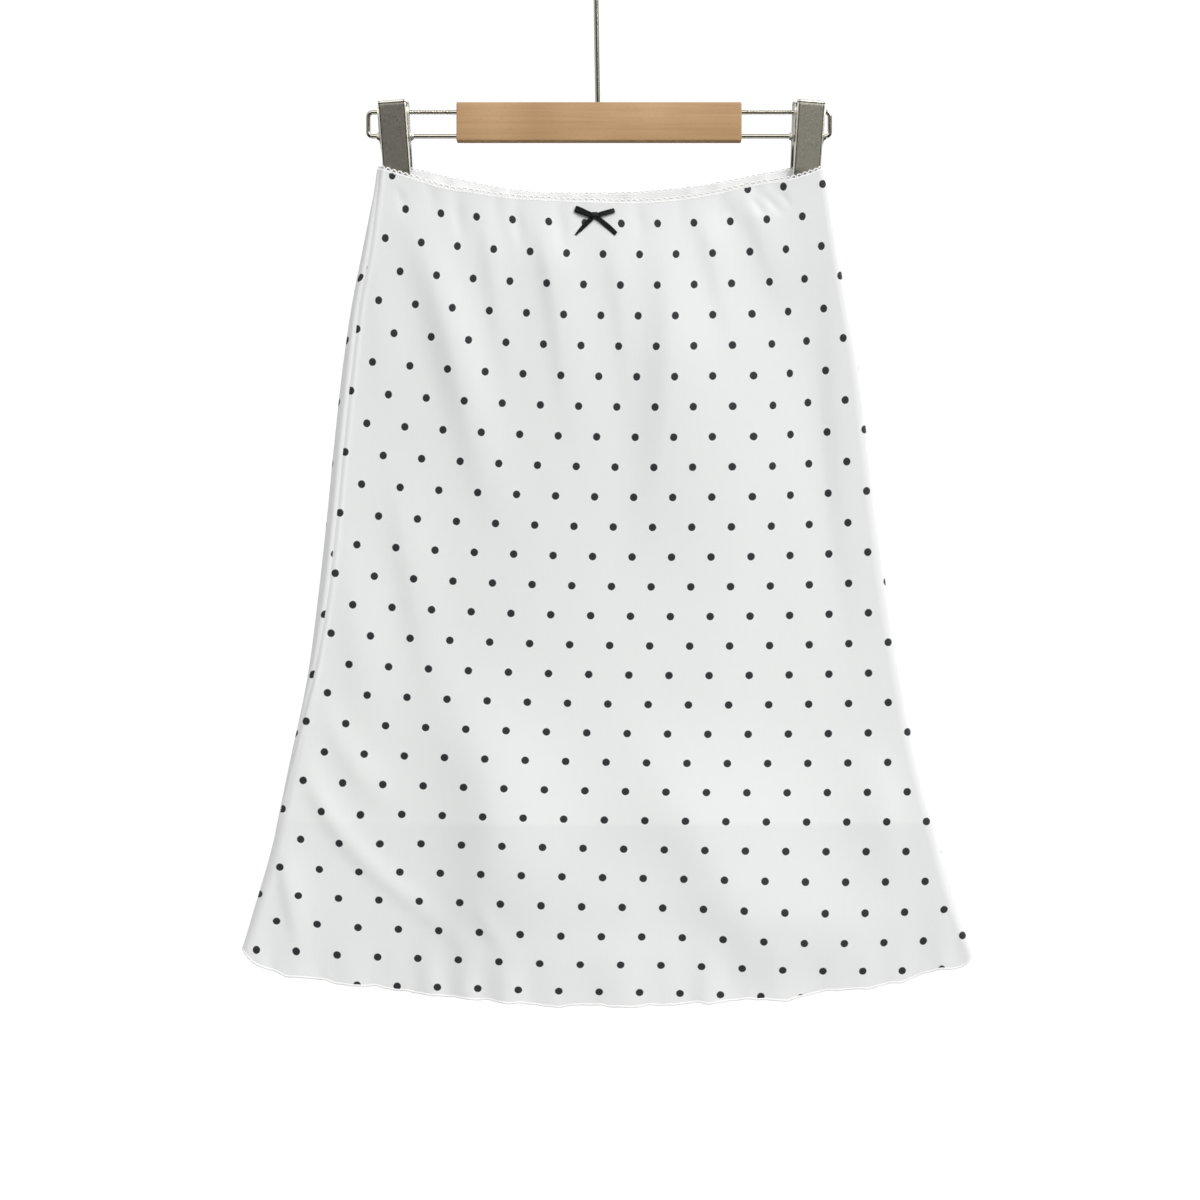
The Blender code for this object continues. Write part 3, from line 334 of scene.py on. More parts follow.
# Hanger bar, hook and wires
BAR_CENTRE = (-0.7, 0.0, -134.2)
BAR_SIZE = (206.0, 12.0, 28.0)
BAR_EDGE_RADIUS = 1.0
HOLE_DEPTH = 20.0
HOOK_INNER_RADIUS = 18.0
HOOK_TAIL_ANGLE = 205.0
HOOK_ROUND_START = -35.0
STEM_FOOT_X = -1.7
STEM_LEAN = 0.9
STEM_LENGTH = 75.5
HOOK_HANDLE = 11.0
WIRE_UPPER_Z = -126.7
WIRE_LOWER_Z = -144.1
WIRE_CORNER = 3.2
WIRE_ENDS = {"left": -167.8, "right": 166.4}
NOTCH_PITCH = 2.1
NOTCH_DEPTH = 0.8
NOTCHES_FROM_BAR = 4.0
NOTCHES_FROM_CLIP = 1.0
HOOK_SIDES = 24
WIRE_SIDES = 16
HOLE_LEAD = 5.0
CLIP_WIRE_PLAY = 0.25
HOOK_WIRE_PLAY = 0.2

# Finish of the wires and eyelets: roughness, and how dense the scratches are along x, y, z
WIRE_FINISH = (0.13, (300.0, 300.0, 40.0))
EYELET_FINISH = (0.25, (200.0, 900.0, 900.0))

# Clips: x at the lower wire, and in degrees the lean of the foot towards +X and how far
# the face turns towards +X
CLIPS = {"left": (-148.2, 3.7, -4.0), "right": (150.2, -2.9, 9.0)}
CLIP_PLATE = 0.8
# Painted highlight on the clips' bends and rim, in place of the light they catch: where it comes in across
# the bend and up the face, in millimetres
BEND_PAINTED_HIGHLIGHT = (0.0, 0.4)
RIM_PAINTED_HIGHLIGHT = (23.1, 23.4)
# Painted shade: a dark line at the foot of the rim and beside the bends, its place across and up, and half
# its width
PAINTED_SHADE_LINE = (-0.3, 22.75)
PAINTED_SHADE_WIDTH = 0.3
# How much further out the painted highlight starts on the back jaw
BACK_JAW_HIGHLIGHT_INSET = 1.1
FRONT_JAW_WIDTH = 20.2
BACK_JAW_WIDTH = 21.4
JAW_SPLAY = 0.05
JAW_BEND = 0.9

# Half of an eyelet's section: distance along the wire from the clip's middle, and radius
EYELET_SIDES = 32
EYELET_PROFILE = (
    (13.3, 1.9), (13.4, 2.15), (13.0, 2.4), (12.4, 2.75), (11.8, 3.2), (11.4, 3.6), (11.1, 3.7), (10.9, 3.6),
    (10.8, 3.2), (10.8, 2.5),
)

# The jaws' side views: depth off the wires' plane, and height over the lower wire
FRONT_JAW_FACE = (
    (6.6, 25.0), (7.6, 25.1), (8.5, 24.8), (9.1, 24.2), (9.35, 23.6), (9.3, 23.2), (8.75, 22.95),
    (8.85, 22.5), (8.25, 15.0), (7.5, 6.0), (7.0, 0.0), (6.3, -9.0), (5.6, -18.0), (5.0, -26.0),
    (4.0, -31.0), (2.9, -34.0),
)
FRONT_JAW_FLANGE = (
    (1.9, -34.4), (3.0, -28.0), (3.4, -20.0), (2.6, -8.0), (-3.2, -4.6), (-4.9, -2.0), (-4.9, 2.0),
    (-3.2, 4.6), (2.4, 9.0), (4.4, 14.0), (5.4, 20.0), (6.0, 25.2),
)
BACK_JAW_FACE = (
    (4.0, 25.0), (6.6, 25.2), (8.4, 24.8), (9.0, 23.8), (8.0, 14.0), (6.4, 0.0), (5.5, -12.0), (4.6, -24.0),
    (2.5, -34.0),
)
BACK_JAW_FLANGE = (
    (1.4, -34.4), (2.6, -23.0), (0.4, -10.0), (-4.9, -3.0), (-4.9, 18.0), (-3.0, 22.4), (2.0, 25.2),
)

# Each jaw: which way it faces along Y, its face and flange, and its width
JAWS = {
    "front": (-1, FRONT_JAW_FACE, FRONT_JAW_FLANGE, FRONT_JAW_WIDTH),
    "back": (1, BACK_JAW_FACE, BACK_JAW_FLANGE, BACK_JAW_WIDTH),
}

# A band texture of this scale has one band to the millimetre
BAND_SCALE = 0.314

# Studio, in metres: floor, lights with their places, the white behind the skirt, and how
# bright the walls at its left and right are
FLOOR_HALF = 1.1
FLOOR_Z = -1.6
LIGHT_AIM = (0.0, 0.0, -0.45)
KEY_PLACE = (3.0, -3.2, 2.2)
TOP_PLACE = (-0.6, -4.5, 3.2)
BACK_PLACE = (3.2, 3.0, 2.4)
SUN_ANGLE = 36.0
TOP_SIZE = 3.0
PICTURE_WHITE = 1.05
LEFT_WALL = 1.26
RIGHT_WALL = 0.92


def linear(hex_colour):
    """An sRGB hex colour as linear red, green, blue and alpha."""
    shares = [int(hex_colour[place:place + 2], 16) / 255 for place in (1, 3, 5)]
    turned = [share / 12.92 if share <= 0.04045 else ((share + 0.055) / 1.055) ** 2.4 for share in shares]
    return (*turned, 1.0)


class SkirtClothSettings(bpy.types.PropertyGroup):
    """Sizes and colours of the skirt's cloth and trims."""

    cloth_thickness: FloatProperty(
        name="Cloth thickness", description="Thickness of the jersey", default=0.0006, unit="LENGTH",
        precision=4,
    )
    dot_diameter: FloatProperty(
        name="Dot diameter", description="Diameter of a printed dot on relaxed cloth", default=0.0056,
        unit="LENGTH", precision=4,
    )
    dot_pitch_across: FloatProperty(
        name="Dot pitch across", description="Distance between dots in a row", default=0.0293, unit="LENGTH",
        precision=4,
    )
    dot_pitch_down: FloatProperty(
        name="Dot pitch down", description="Distance between rows of dots", default=0.0216, unit="LENGTH",
        precision=4,
    )
    cloth_colour: FloatVectorProperty(
        name="Cloth colour", description="Ground colour of the jersey", default=linear("#EAECEB"), size=4,
        subtype="COLOR", min=0.0, max=1.0,
    )
    dot_colour: FloatVectorProperty(
        name="Dot colour", description="Colour of the printed dots", default=linear("#191C20"), size=4,
        subtype="COLOR", min=0.0, max=1.0,
    )
    thread_colour: FloatVectorProperty(
        name="Thread colour", description="Colour of the hem thread, elastic and stitches",
        default=linear("#F8F8F7"), size=4, subtype="COLOR", min=0.0, max=1.0,
    )
    ribbon_colour: FloatVectorProperty(
        name="Ribbon colour", description="Colour of the bow's satin ribbon", default=linear("#0D0E10"),
        size=4, subtype="COLOR", min=0.0, max=1.0,
    )


class SkirtHangerSettings(bpy.types.PropertyGroup):
    """Sizes and colours of the clip hanger."""

    hook_wire_diameter: FloatProperty(
        name="Hook wire", description="Diameter of the hook's wire", default=0.0036, unit="LENGTH",
        precision=4,
    )
    clip_wire_diameter: FloatProperty(
        name="Clip wire", description="Diameter of the wires that carry the clips", default=0.0032,
        unit="LENGTH", precision=4,
    )
    wood_light: FloatVectorProperty(
        name="Light wood", description="Pale beech between the growth lines", default=linear("#C9A377"),
        size=4, subtype="COLOR", min=0.0, max=1.0,
    )
    wood_dark: FloatVectorProperty(
        name="Dark wood", description="Growth lines and ray flecks of the beech", default=linear("#AE8658"),
        size=4, subtype="COLOR", min=0.0, max=1.0,
    )
    wire_colour: FloatVectorProperty(
        name="Wire colour", description="Bright nickel plate on the wires and the hook",
        default=linear("#AEAB9E"), size=4, subtype="COLOR", min=0.0, max=1.0,
    )
    # The eyelets' own bright plate, also painted as a highlight on the clips' bends and rim
    eyelet_and_highlight_colour: FloatVectorProperty(
        name="Bright plate", description="Nickel plate on the eyelets and on the clips' rubbed edges",
        default=linear("#E8E5DB"), size=4, subtype="COLOR", min=0.0, max=1.0,
    )
    clip_colour: FloatVectorProperty(
        name="Clip colour", description="Dull nickel plate on the pressed clips", default=linear("#ACA89B"),
        size=4, subtype="COLOR", min=0.0, max=1.0,
    )


class SkirtStageSettings(bpy.types.PropertyGroup):
    """Light and floor of the small studio round the skirt."""

    key_strength: FloatProperty(
        name="Key light", description="Strength of the broad far light from the upper right",
        default=1.98, min=0.0,
    )
    back_strength: FloatProperty(
        name="Back light", description="Strength of the broad far light from behind", default=1.7, min=0.0
    )
    top_power: FloatProperty(
        name="Top light", description="Power of the soft light above the camera", default=75.0, unit="POWER"
    )
    surroundings: FloatProperty(
        name="Surroundings", description="Brightness of the white walls round the skirt", default=0.71,
        min=0.0,
    )
    floor_colour: FloatVectorProperty(
        name="Floor colour", description="Pale paper on the floor", default=linear("#D6D6D4"), size=4,
        subtype="COLOR", min=0.0, max=1.0,
    )


def add_node(tree, kind, inputs=None, **settings):
    """Adds a node with its settings. An input is a value, or another node's socket to link."""
    made = tree.nodes.new(kind)
    for setting, value in settings.items():
        setattr(made, setting, value)
    for place, value in (inputs or {}).items():
        if isinstance(value, bpy.types.NodeSocket):
            tree.links.new(value, made.inputs[place])
        else:
            made.inputs[place].default_value = value
    return made


def new_material(name, **uniform):
    """A material with these values on its shader, its node tree and the shader."""
    made = bpy.data.materials.new(name)
    made.use_nodes = True
    shader = made.node_tree.nodes["Principled BSDF"]
    for socket, value in uniform.items():
        shader.inputs[socket.replace("_", " ")].default_value = value
    return made, made.node_tree, shader


def darker(colour, share):
    """A colour with its red, green and blue at a share of what they were."""
    return (*(part * share for part in colour[:3]), 1.0)


def printed_jersey(name, dot_share, paints_lining_shade):
    """Polyester jersey, circular knitted, heat set to a soft face and printed with dots.

    The eye sees an almost matt white with a faint lustre, fine wales that only show close
    up, and charcoal dots whose edges follow the knit. The wrong side shows the dots pale.
    """
    cloth = bpy.context.scene.skirt_cloth
    made, tree, shader = new_material(name, IOR=1.5, Sheen_Weight=0.05, Sheen_Roughness=0.5)
    lattice = add_node(tree, "ShaderNodeUVMap", uv_map="print")
    cell = add_node(
        tree, "ShaderNodeVectorMath", {0: lattice.outputs["UV"], 1: (0.5, 0.5, 0.5), 2: (-0.5, -0.5, -0.5)},
        operation="WRAP",
    )
    across_mm = cloth.dot_pitch_across / MM
    down_mm = cloth.dot_pitch_down / MM
    across = add_node(
        tree, "ShaderNodeVectorMath", {0: cell.outputs[0], 1: (across_mm, across_mm / 2, 0.0)},
        operation="DOT_PRODUCT",
    )
    down = add_node(
        tree, "ShaderNodeVectorMath", {0: cell.outputs[0], 1: (0.0, down_mm, 0.0)}, operation="DOT_PRODUCT"
    )
    place = add_node(
        tree, "ShaderNodeCombineXYZ", {"X": across.outputs["Value"], "Y": down.outputs["Value"], "Z": 0.0}
    )
    distance = add_node(tree, "ShaderNodeVectorMath", {0: place.outputs[0]}, operation="LENGTH")
    on_cloth = add_node(tree, "ShaderNodeUVMap", uv_map="cloth")
    in_mm = add_node(
        tree, "ShaderNodeVectorMath", {0: on_cloth.outputs["UV"], "Scale": 1 / MM}, operation="SCALE"
    )
    # The ink creeps along the knit, so an edge wanders by about 0.15 mm every millimetre
    creep = add_node(
        tree, "ShaderNodeTexNoise", {"Vector": in_mm.outputs[0], "Scale": 0.9, "Detail": 2.0}
    )
    ragged = add_node(
        tree, "ShaderNodeMath", {0: creep.outputs["Fac"], 1: 0.5, 2: distance.outputs["Value"]},
        operation="MULTIPLY_ADD",
    )
    radius = cloth.dot_diameter / MM / 2 + DOT_SPREAD
    dot = add_node(
        tree, "ShaderNodeMapRange",
        {"Value": ragged.outputs[0], "From Min": radius - DOT_EDGE, "From Max": radius + DOT_EDGE,
         "To Min": dot_share, "To Max": 0.0},
        interpolation_type="SMOOTHSTEP",
    )
    # Wales 0.35 mm apart are too fine for a picture of the whole skirt: drawn at 0.9 mm
    wales = add_node(
        tree, "ShaderNodeTexWave",
        {"Vector": in_mm.outputs[0], "Scale": BAND_SCALE / 0.9, "Distortion": 0.6, "Detail": 1.0,
         "Detail Scale": 2.0},
        wave_type="BANDS", bands_direction="X",
    )
    # Slubs and slack stitches, about 6 mm across
    slack = add_node(
        tree, "ShaderNodeTexNoise",
        {"Vector": in_mm.outputs[0], "Scale": 0.16, "Detail": 3.0, "Roughness": 0.6},
    )
    ground = add_node(
        tree, "ShaderNodeMix",
        {0: slack.outputs["Fac"], 6: darker(cloth.cloth_colour, 0.985), 7: tuple(cloth.cloth_colour)},
        data_type="RGBA",
    )
    base = ground.outputs[2]
    if paints_lining_shade:
        # Painted shade: below the lining's hem the single layer is painted a shade greyer, in place of
        # the light that passes through it
        drop = add_node(tree, "ShaderNodeSeparateXYZ", {0: in_mm.outputs[0]})
        below = add_node(
            tree, "ShaderNodeMapRange",
            {"Value": drop.outputs["Y"], "From Min": LINING_HEM_DROP - 2, "From Max": LINING_HEM_DROP + 3},
            interpolation_type="SMOOTHSTEP",
        )
        # The painted step is plain at the middle and right and faint at the left, where the cloth
        # hangs off the lining
        plain = add_node(
            tree, "ShaderNodeMapRange",
            {"Value": drop.outputs["X"], "From Min": LINING_FAINT_X, "From Max": LINING_PLAIN_X,
             "To Min": 0.5},
            interpolation_type="SMOOTHSTEP",
        )
        strength = add_node(
            tree, "ShaderNodeMath", {0: below.outputs[0], 1: plain.outputs[0]}, operation="MULTIPLY"
        )
        toned = add_node(
            tree, "ShaderNodeMix",
            {0: strength.outputs[0], 6: (1.0, 1.0, 1.0, 1.0), 7: SINGLE_LAYER_PAINTED_SHADE}, data_type="RGBA",
        )
        shaded = add_node(
            tree, "ShaderNodeMix", {0: 1.0, 6: base, 7: toned.outputs[2]}, data_type="RGBA",
            blend_type="MULTIPLY",
        )
        base = shaded.outputs[2]
    coloured = add_node(
        tree, "ShaderNodeMix", {0: dot.outputs[0], 6: base, 7: tuple(cloth.dot_colour)}, data_type="RGBA"
    )
    tree.links.new(coloured.outputs[2], shader.inputs["Base Color"])
    lustre = add_node(
        tree, "ShaderNodeMapRange", {"Value": slack.outputs["Fac"], "To Min": 0.58, "To Max": 0.72}
    )
    tree.links.new(lustre.outputs[0], shader.inputs["Roughness"])
    height = add_node(
        tree, "ShaderNodeMath", {0: slack.outputs["Fac"], 1: 2.0, 2: wales.outputs["Fac"]},
        operation="MULTIPLY_ADD",
    )
    relief = add_node(
        tree, "ShaderNodeBump", {"Strength": 0.25, "Distance": 0.06 * MM, "Height": height.outputs[0]}
    )
    tree.links.new(relief.outputs["Normal"], shader.inputs["Normal"])
    return made


def spun_thread(name, wrap_pitch):
    """Spun polyester thread, wrapped over an edge: soft white ridges with painted grey shade between them."""
    cloth = bpy.context.scene.skirt_cloth
    made, tree, shader = new_material(name, IOR=1.5, Roughness=0.7, Sheen_Weight=0.15, Sheen_Roughness=0.5)
    on_cloth = add_node(tree, "ShaderNodeUVMap", uv_map="cloth")
    in_mm = add_node(
        tree, "ShaderNodeVectorMath", {0: on_cloth.outputs["UV"], "Scale": 1 / MM}, operation="SCALE"
    )
    wraps = add_node(
        tree, "ShaderNodeTexWave",
        {"Vector": in_mm.outputs[0], "Scale": BAND_SCALE / wrap_pitch, "Distortion": 0.8, "Detail": 1.0},
        wave_type="BANDS", bands_direction="X",
    )
    # Painted shade: the grooves between the wraps are painted grey
    shade = add_node(
        tree, "ShaderNodeMix",
        {0: wraps.outputs["Fac"], 6: darker(cloth.thread_colour, 0.9), 7: tuple(cloth.thread_colour)},
        data_type="RGBA",
    )
    tree.links.new(shade.outputs[2], shader.inputs["Base Color"])
    relief = add_node(
        tree, "ShaderNodeBump", {"Strength": 0.5, "Distance": 0.2 * MM, "Height": wraps.outputs["Fac"]}
    )
    tree.links.new(relief.outputs["Normal"], shader.inputs["Normal"])
    return made


def knitted_elastic():
    """Knitted polyester elastic: soft white, with ribs that run along the band."""
    cloth = bpy.context.scene.skirt_cloth
    made, tree, shader = new_material("knitted_elastic", IOR=1.5, Roughness=0.75, Sheen_Weight=0.2)
    on_cloth = add_node(tree, "ShaderNodeUVMap", uv_map="cloth")
    in_mm = add_node(
        tree, "ShaderNodeVectorMath", {0: on_cloth.outputs["UV"], "Scale": 1 / MM}, operation="SCALE"
    )
    # Ribs along the band are 1.3 mm apart, the rows of loops across it 0.8 mm
    ribs = add_node(
        tree, "ShaderNodeTexWave", {"Vector": in_mm.outputs[0], "Scale": BAND_SCALE / 1.3, "Distortion": 0.3},
        wave_type="BANDS", bands_direction="Y",
    )
    loops = add_node(
        tree, "ShaderNodeTexWave", {"Vector": in_mm.outputs[0], "Scale": BAND_SCALE / 0.8, "Distortion": 0.4},
        wave_type="BANDS", bands_direction="X",
    )
    height = add_node(
        tree, "ShaderNodeMath", {0: loops.outputs["Fac"], 1: 0.5, 2: ribs.outputs["Fac"]},
        operation="MULTIPLY_ADD",
    )
    # Painted shade: the grooves between the ribs are painted a little darker
    shade = add_node(
        tree, "ShaderNodeMix",
        {0: ribs.outputs["Fac"], 6: darker(cloth.thread_colour, 0.93), 7: tuple(cloth.thread_colour)},
        data_type="RGBA",
    )
    tree.links.new(shade.outputs[2], shader.inputs["Base Color"])
    relief = add_node(
        tree, "ShaderNodeBump", {"Strength": 0.4, "Distance": 0.15 * MM, "Height": height.outputs[0]}
    )
    tree.links.new(relief.outputs["Normal"], shader.inputs["Normal"])
    return made


def satin_ribbon():
    """Woven polyester satin ribbon, 4 mm wide: black with a soft sheen along its fine ribs."""
    cloth = bpy.context.scene.skirt_cloth
    made, tree, shader = new_material(
        "black_satin_ribbon", IOR=1.5, Specular_IOR_Level=0.22, Sheen_Weight=0.03, Sheen_Roughness=0.35
    )
    on_cloth = add_node(tree, "ShaderNodeUVMap", uv_map="cloth")
    in_mm = add_node(
        tree, "ShaderNodeVectorMath", {0: on_cloth.outputs["UV"], "Scale": 1 / MM}, operation="SCALE"
    )
    # Weft picks lie 0.25 mm apart: drawn at 0.4 mm so that they show close up
    picks = add_node(
        tree, "ShaderNodeTexWave", {"Vector": in_mm.outputs[0], "Scale": BAND_SCALE / 0.4, "Distortion": 0.2},
        wave_type="BANDS", bands_direction="X",
    )
    # Painted shade: the grooves between the picks are painted darker
    shade = add_node(
        tree, "ShaderNodeMix",
        {0: picks.outputs["Fac"], 6: darker(cloth.ribbon_colour, 0.75), 7: tuple(cloth.ribbon_colour)},
        data_type="RGBA",
    )
    tree.links.new(shade.outputs[2], shader.inputs["Base Color"])
    gloss = add_node(
        tree, "ShaderNodeMapRange", {"Value": picks.outputs["Fac"], "To Min": 0.42, "To Max": 0.5}
    )
    tree.links.new(gloss.outputs[0], shader.inputs["Roughness"])
    relief = add_node(
        tree, "ShaderNodeBump", {"Strength": 0.3, "Distance": 0.06 * MM, "Height": picks.outputs["Fac"]}
    )
    tree.links.new(relief.outputs["Normal"], shader.inputs["Normal"])
    return made


def lacquered_beech():
    """Beech, planed and thinly lacquered: warm tan, fine lengthwise lines and short ray flecks."""
    hanger = bpy.context.scene.skirt_hanger
    made, tree, shader = new_material(
        "lacquered_beech", IOR=1.5, Coat_Weight=0.12, Coat_Roughness=0.3
    )
    place = add_node(tree, "ShaderNodeTexCoord")
    # Growth lines: 90 mm long and about 2.5 mm apart across the face
    lines_at = add_node(
        tree, "ShaderNodeMapping", {"Vector": place.outputs["Object"], "Scale": (11.0, 260.0, 400.0)}
    )
    lines = add_node(
        tree, "ShaderNodeTexNoise",
        {"Vector": lines_at.outputs[0], "Scale": 1.0, "Detail": 5.0, "Roughness": 0.62, "Distortion": 0.4},
    )
    # Ray flecks: darker dashes 3 mm long and 0.5 mm wide
    flecks_at = add_node(
        tree, "ShaderNodeMapping", {"Vector": place.outputs["Object"], "Scale": (330.0, 1500.0, 2000.0)}
    )
    flecks = add_node(
        tree, "ShaderNodeTexNoise", {"Vector": flecks_at.outputs[0], "Scale": 1.0, "Detail": 1.5}
    )
    fleck = add_node(
        tree, "ShaderNodeMapRange", {"Value": flecks.outputs["Fac"], "From Min": 0.58, "From Max": 0.72}
    )
    # The stick's colour drifts over about 60 mm
    drift = add_node(
        tree, "ShaderNodeTexNoise", {"Vector": place.outputs["Object"], "Scale": 16.0, "Detail": 1.0}
    )
    mixed = add_node(
        tree, "ShaderNodeMath", {0: lines.outputs["Fac"], 1: 0.72, 2: drift.outputs["Fac"]},
        operation="MULTIPLY_ADD",
    )
    share = add_node(
        tree, "ShaderNodeMapRange", {"Value": mixed.outputs[0], "From Min": 0.62, "From Max": 1.12}
    )
    tone = add_node(
        tree, "ShaderNodeMix",
        {0: share.outputs[0], 6: tuple(hanger.wood_light), 7: tuple(hanger.wood_dark)}, data_type="RGBA",
    )
    faint = add_node(tree, "ShaderNodeMath", {0: fleck.outputs[0], 1: 0.35}, operation="MULTIPLY")
    coloured = add_node(
        tree, "ShaderNodeMix",
        {0: faint.outputs[0], 6: tone.outputs[2], 7: darker(hanger.wood_dark, 0.72)},
        data_type="RGBA",
    )
    tree.links.new(coloured.outputs[2], shader.inputs["Base Color"])
    gloss = add_node(
        tree, "ShaderNodeMapRange", {"Value": lines.outputs["Fac"], "To Min": 0.42, "To Max": 0.58}
    )
    tree.links.new(gloss.outputs[0], shader.inputs["Roughness"])
    relief = add_node(
        tree, "ShaderNodeBump", {"Strength": 0.25, "Distance": 0.12 * MM, "Height": lines.outputs["Fac"]}
    )
    tree.links.new(relief.outputs["Normal"], shader.inputs["Normal"])
    return made


def nickel_plate(name, colour, roughness, brushed):
    """Nickel plate on drawn wire or pressed sheet: pale warm metal with fine scuffs.

    brushed gives the scratches' density along x, y and z, per metre.
    """
    made, tree, shader = new_material(name, Base_Color=tuple(colour), Metallic=1.0)
    place = add_node(tree, "ShaderNodeTexCoord")
    stretched = add_node(
        tree, "ShaderNodeMapping", {"Vector": place.outputs["Object"], "Scale": brushed}
    )
    scuffs = add_node(
        tree, "ShaderNodeTexNoise",
        {"Vector": stretched.outputs[0], "Scale": 1.0, "Detail": 4.0, "Roughness": 0.6},
    )
    gloss = add_node(
        tree, "ShaderNodeMapRange",
        {"Value": scuffs.outputs["Fac"], "From Min": 0.3, "From Max": 0.7, "To Min": roughness * 0.8,
         "To Max": roughness * 1.25},
    )
    tree.links.new(gloss.outputs[0], shader.inputs["Roughness"])
    relief = add_node(
        tree, "ShaderNodeBump", {"Strength": 0.12, "Distance": 0.05 * MM, "Height": scuffs.outputs["Fac"]}
    )
    tree.links.new(relief.outputs["Normal"], shader.inputs["Normal"])
    return made


def pressed_nickel():
    """Nickel plate on pressed sheet: dull and scuffed, with painted highlight on its bends and rim.

    The map "pressed" gives the distance beyond the start of a bend, and the height.
    """
    hanger = bpy.context.scene.skirt_hanger
    made, tree, shader = new_material("nickel_plated_pressed_steel", Metallic=1.0)
    on_plate = add_node(tree, "ShaderNodeUVMap", uv_map="pressed")
    in_mm = add_node(
        tree, "ShaderNodeVectorMath", {0: on_plate.outputs["UV"], "Scale": 1 / MM}, operation="SCALE"
    )
    parts = add_node(tree, "ShaderNodeSeparateXYZ", {0: in_mm.outputs[0]})
    bend = add_node(
        tree, "ShaderNodeMapRange",
        {"Value": parts.outputs["X"], "From Min": BEND_PAINTED_HIGHLIGHT[0], "From Max": BEND_PAINTED_HIGHLIGHT[1]},
        interpolation_type="SMOOTHSTEP",
    )
    rim = add_node(
        tree, "ShaderNodeMapRange",
        {"Value": parts.outputs["Y"], "From Min": RIM_PAINTED_HIGHLIGHT[0], "From Max": RIM_PAINTED_HIGHLIGHT[1]},
        interpolation_type="SMOOTHSTEP",
    )
    painted_highlight = add_node(
        tree, "ShaderNodeMath", {0: bend.outputs[0], 1: rim.outputs[0]}, operation="MAXIMUM"
    )
    # Painted shade: a dark line 0.6 mm wide along the foot of the rim and beside the bends
    under_rim = add_node(
        tree, "ShaderNodeMath", {0: parts.outputs["Y"], 1: PAINTED_SHADE_LINE[1], 2: PAINTED_SHADE_WIDTH},
        operation="COMPARE",
    )
    beside_bend = add_node(
        tree, "ShaderNodeMath", {0: parts.outputs["X"], 1: PAINTED_SHADE_LINE[0], 2: PAINTED_SHADE_WIDTH},
        operation="COMPARE",
    )
    painted_shade = add_node(
        tree, "ShaderNodeMath", {0: under_rim.outputs[0], 1: beside_bend.outputs[0]}, operation="MAXIMUM"
    )
    place = add_node(tree, "ShaderNodeTexCoord")
    stretched = add_node(
        tree, "ShaderNodeMapping", {"Vector": place.outputs["Object"], "Scale": (1400.0, 1400.0, 700.0)}
    )
    scuffs = add_node(
        tree, "ShaderNodeTexNoise",
        {"Vector": stretched.outputs[0], "Scale": 1.0, "Detail": 4.0, "Roughness": 0.6},
    )
    # Painted highlight on the bends and rim, then painted shade in the dark line
    tone = add_node(
        tree, "ShaderNodeMix",
        {0: painted_highlight.outputs[0], 6: tuple(hanger.clip_colour), 7: tuple(hanger.eyelet_and_highlight_colour)},
        data_type="RGBA",
    )
    toned = add_node(
        tree, "ShaderNodeMix",
        {0: painted_shade.outputs[0], 6: tone.outputs[2], 7: darker(hanger.clip_colour, 0.3)},
        data_type="RGBA",
    )
    tree.links.new(toned.outputs[2], shader.inputs["Base Color"])
    gloss = add_node(
        tree, "ShaderNodeMapRange",
        {"Value": scuffs.outputs["Fac"], "From Min": 0.3, "From Max": 0.7, "To Min": 0.31, "To Max": 0.47},
    )
    tree.links.new(gloss.outputs[0], shader.inputs["Roughness"])
    relief = add_node(
        tree, "ShaderNodeBump", {"Strength": 0.12, "Distance": 0.05 * MM, "Height": scuffs.outputs["Fac"]}
    )
    tree.links.new(relief.outputs["Normal"], shader.inputs["Normal"])
    return made


def studio_paper():
    """Pale seamless paper on the floor, matt with a faint grain."""
    made, tree, shader = new_material("studio_paper", Roughness=0.9)
    place = add_node(tree, "ShaderNodeTexCoord")
    grain = add_node(
        tree, "ShaderNodeTexNoise", {"Vector": place.outputs["Object"], "Scale": 40.0, "Detail": 3.0}
    )
    colour = bpy.context.scene.skirt_stage.floor_colour
    tone = add_node(
        tree, "ShaderNodeMix",
        {0: grain.outputs["Fac"], 6: tuple(colour), 7: darker(colour, 0.97)},
        data_type="RGBA",
    )
    tree.links.new(tone.outputs[2], shader.inputs["Base Color"])
    return made


def shared(name, build, *values):
    """The material of this name, built on first use."""
    return bpy.data.materials.get(name) or build(*values)


def unit(vectors):
    """Each vector at a length of one."""
    return vectors / np.linalg.norm(vectors, axis=-1, keepdims=True)


def lengths_along(path):
    """The length of a path up to each of its points."""
    return np.concatenate([[0], np.cumsum(np.linalg.norm(np.diff(path, axis=0), axis=1))])


def column(rows, names, wanted):
    """One column of a table."""
    return np.array([row[names.index(wanted)] for row in rows], float)


def through(rows, names, key, wanted, at):
    """A smooth curve through a table's rows: the wanted column at these values of the key."""
    keys = column(rows, names, key)
    values = column(rows, names, wanted)
    slopes = np.gradient(values, keys)
    at = np.clip(at, keys[0], keys[-1])
    low = np.clip(np.searchsorted(keys, at, side="right") - 1, 0, len(keys) - 2)
    span = keys[low + 1] - keys[low]
    share = (at - keys[low]) / span
    from_low = (1 + 2 * share) * (1 - share) ** 2
    from_high = share**2 * (3 - 2 * share)
    low_slope = share * (1 - share) ** 2 * span
    high_slope = share**2 * (share - 1) * span
    return (
        from_low * values[low]
        + from_high * values[low + 1]
        + low_slope * slopes[low]
        + high_slope * slopes[low + 1]
    )


def level(wanted, drop):
    """A value from the table of levels at these drops."""
    return through(LEVELS, LEVEL_COLUMNS, "drop", wanted, drop)


def fade(share):
    """1 at zero, falling smoothly to 0 at one and beyond."""
    share = np.clip(share, 0.0, 1.0)
    return 1 - share * share * (3 - 2 * share)


def half_round(drop):
    """The length of the cloth from outline to outline, once across the front or the back."""
    radius = level("side_radius", drop)
    flat = level("right", drop) - level("left", drop) - 2 * radius
    return flat + math.pi * radius


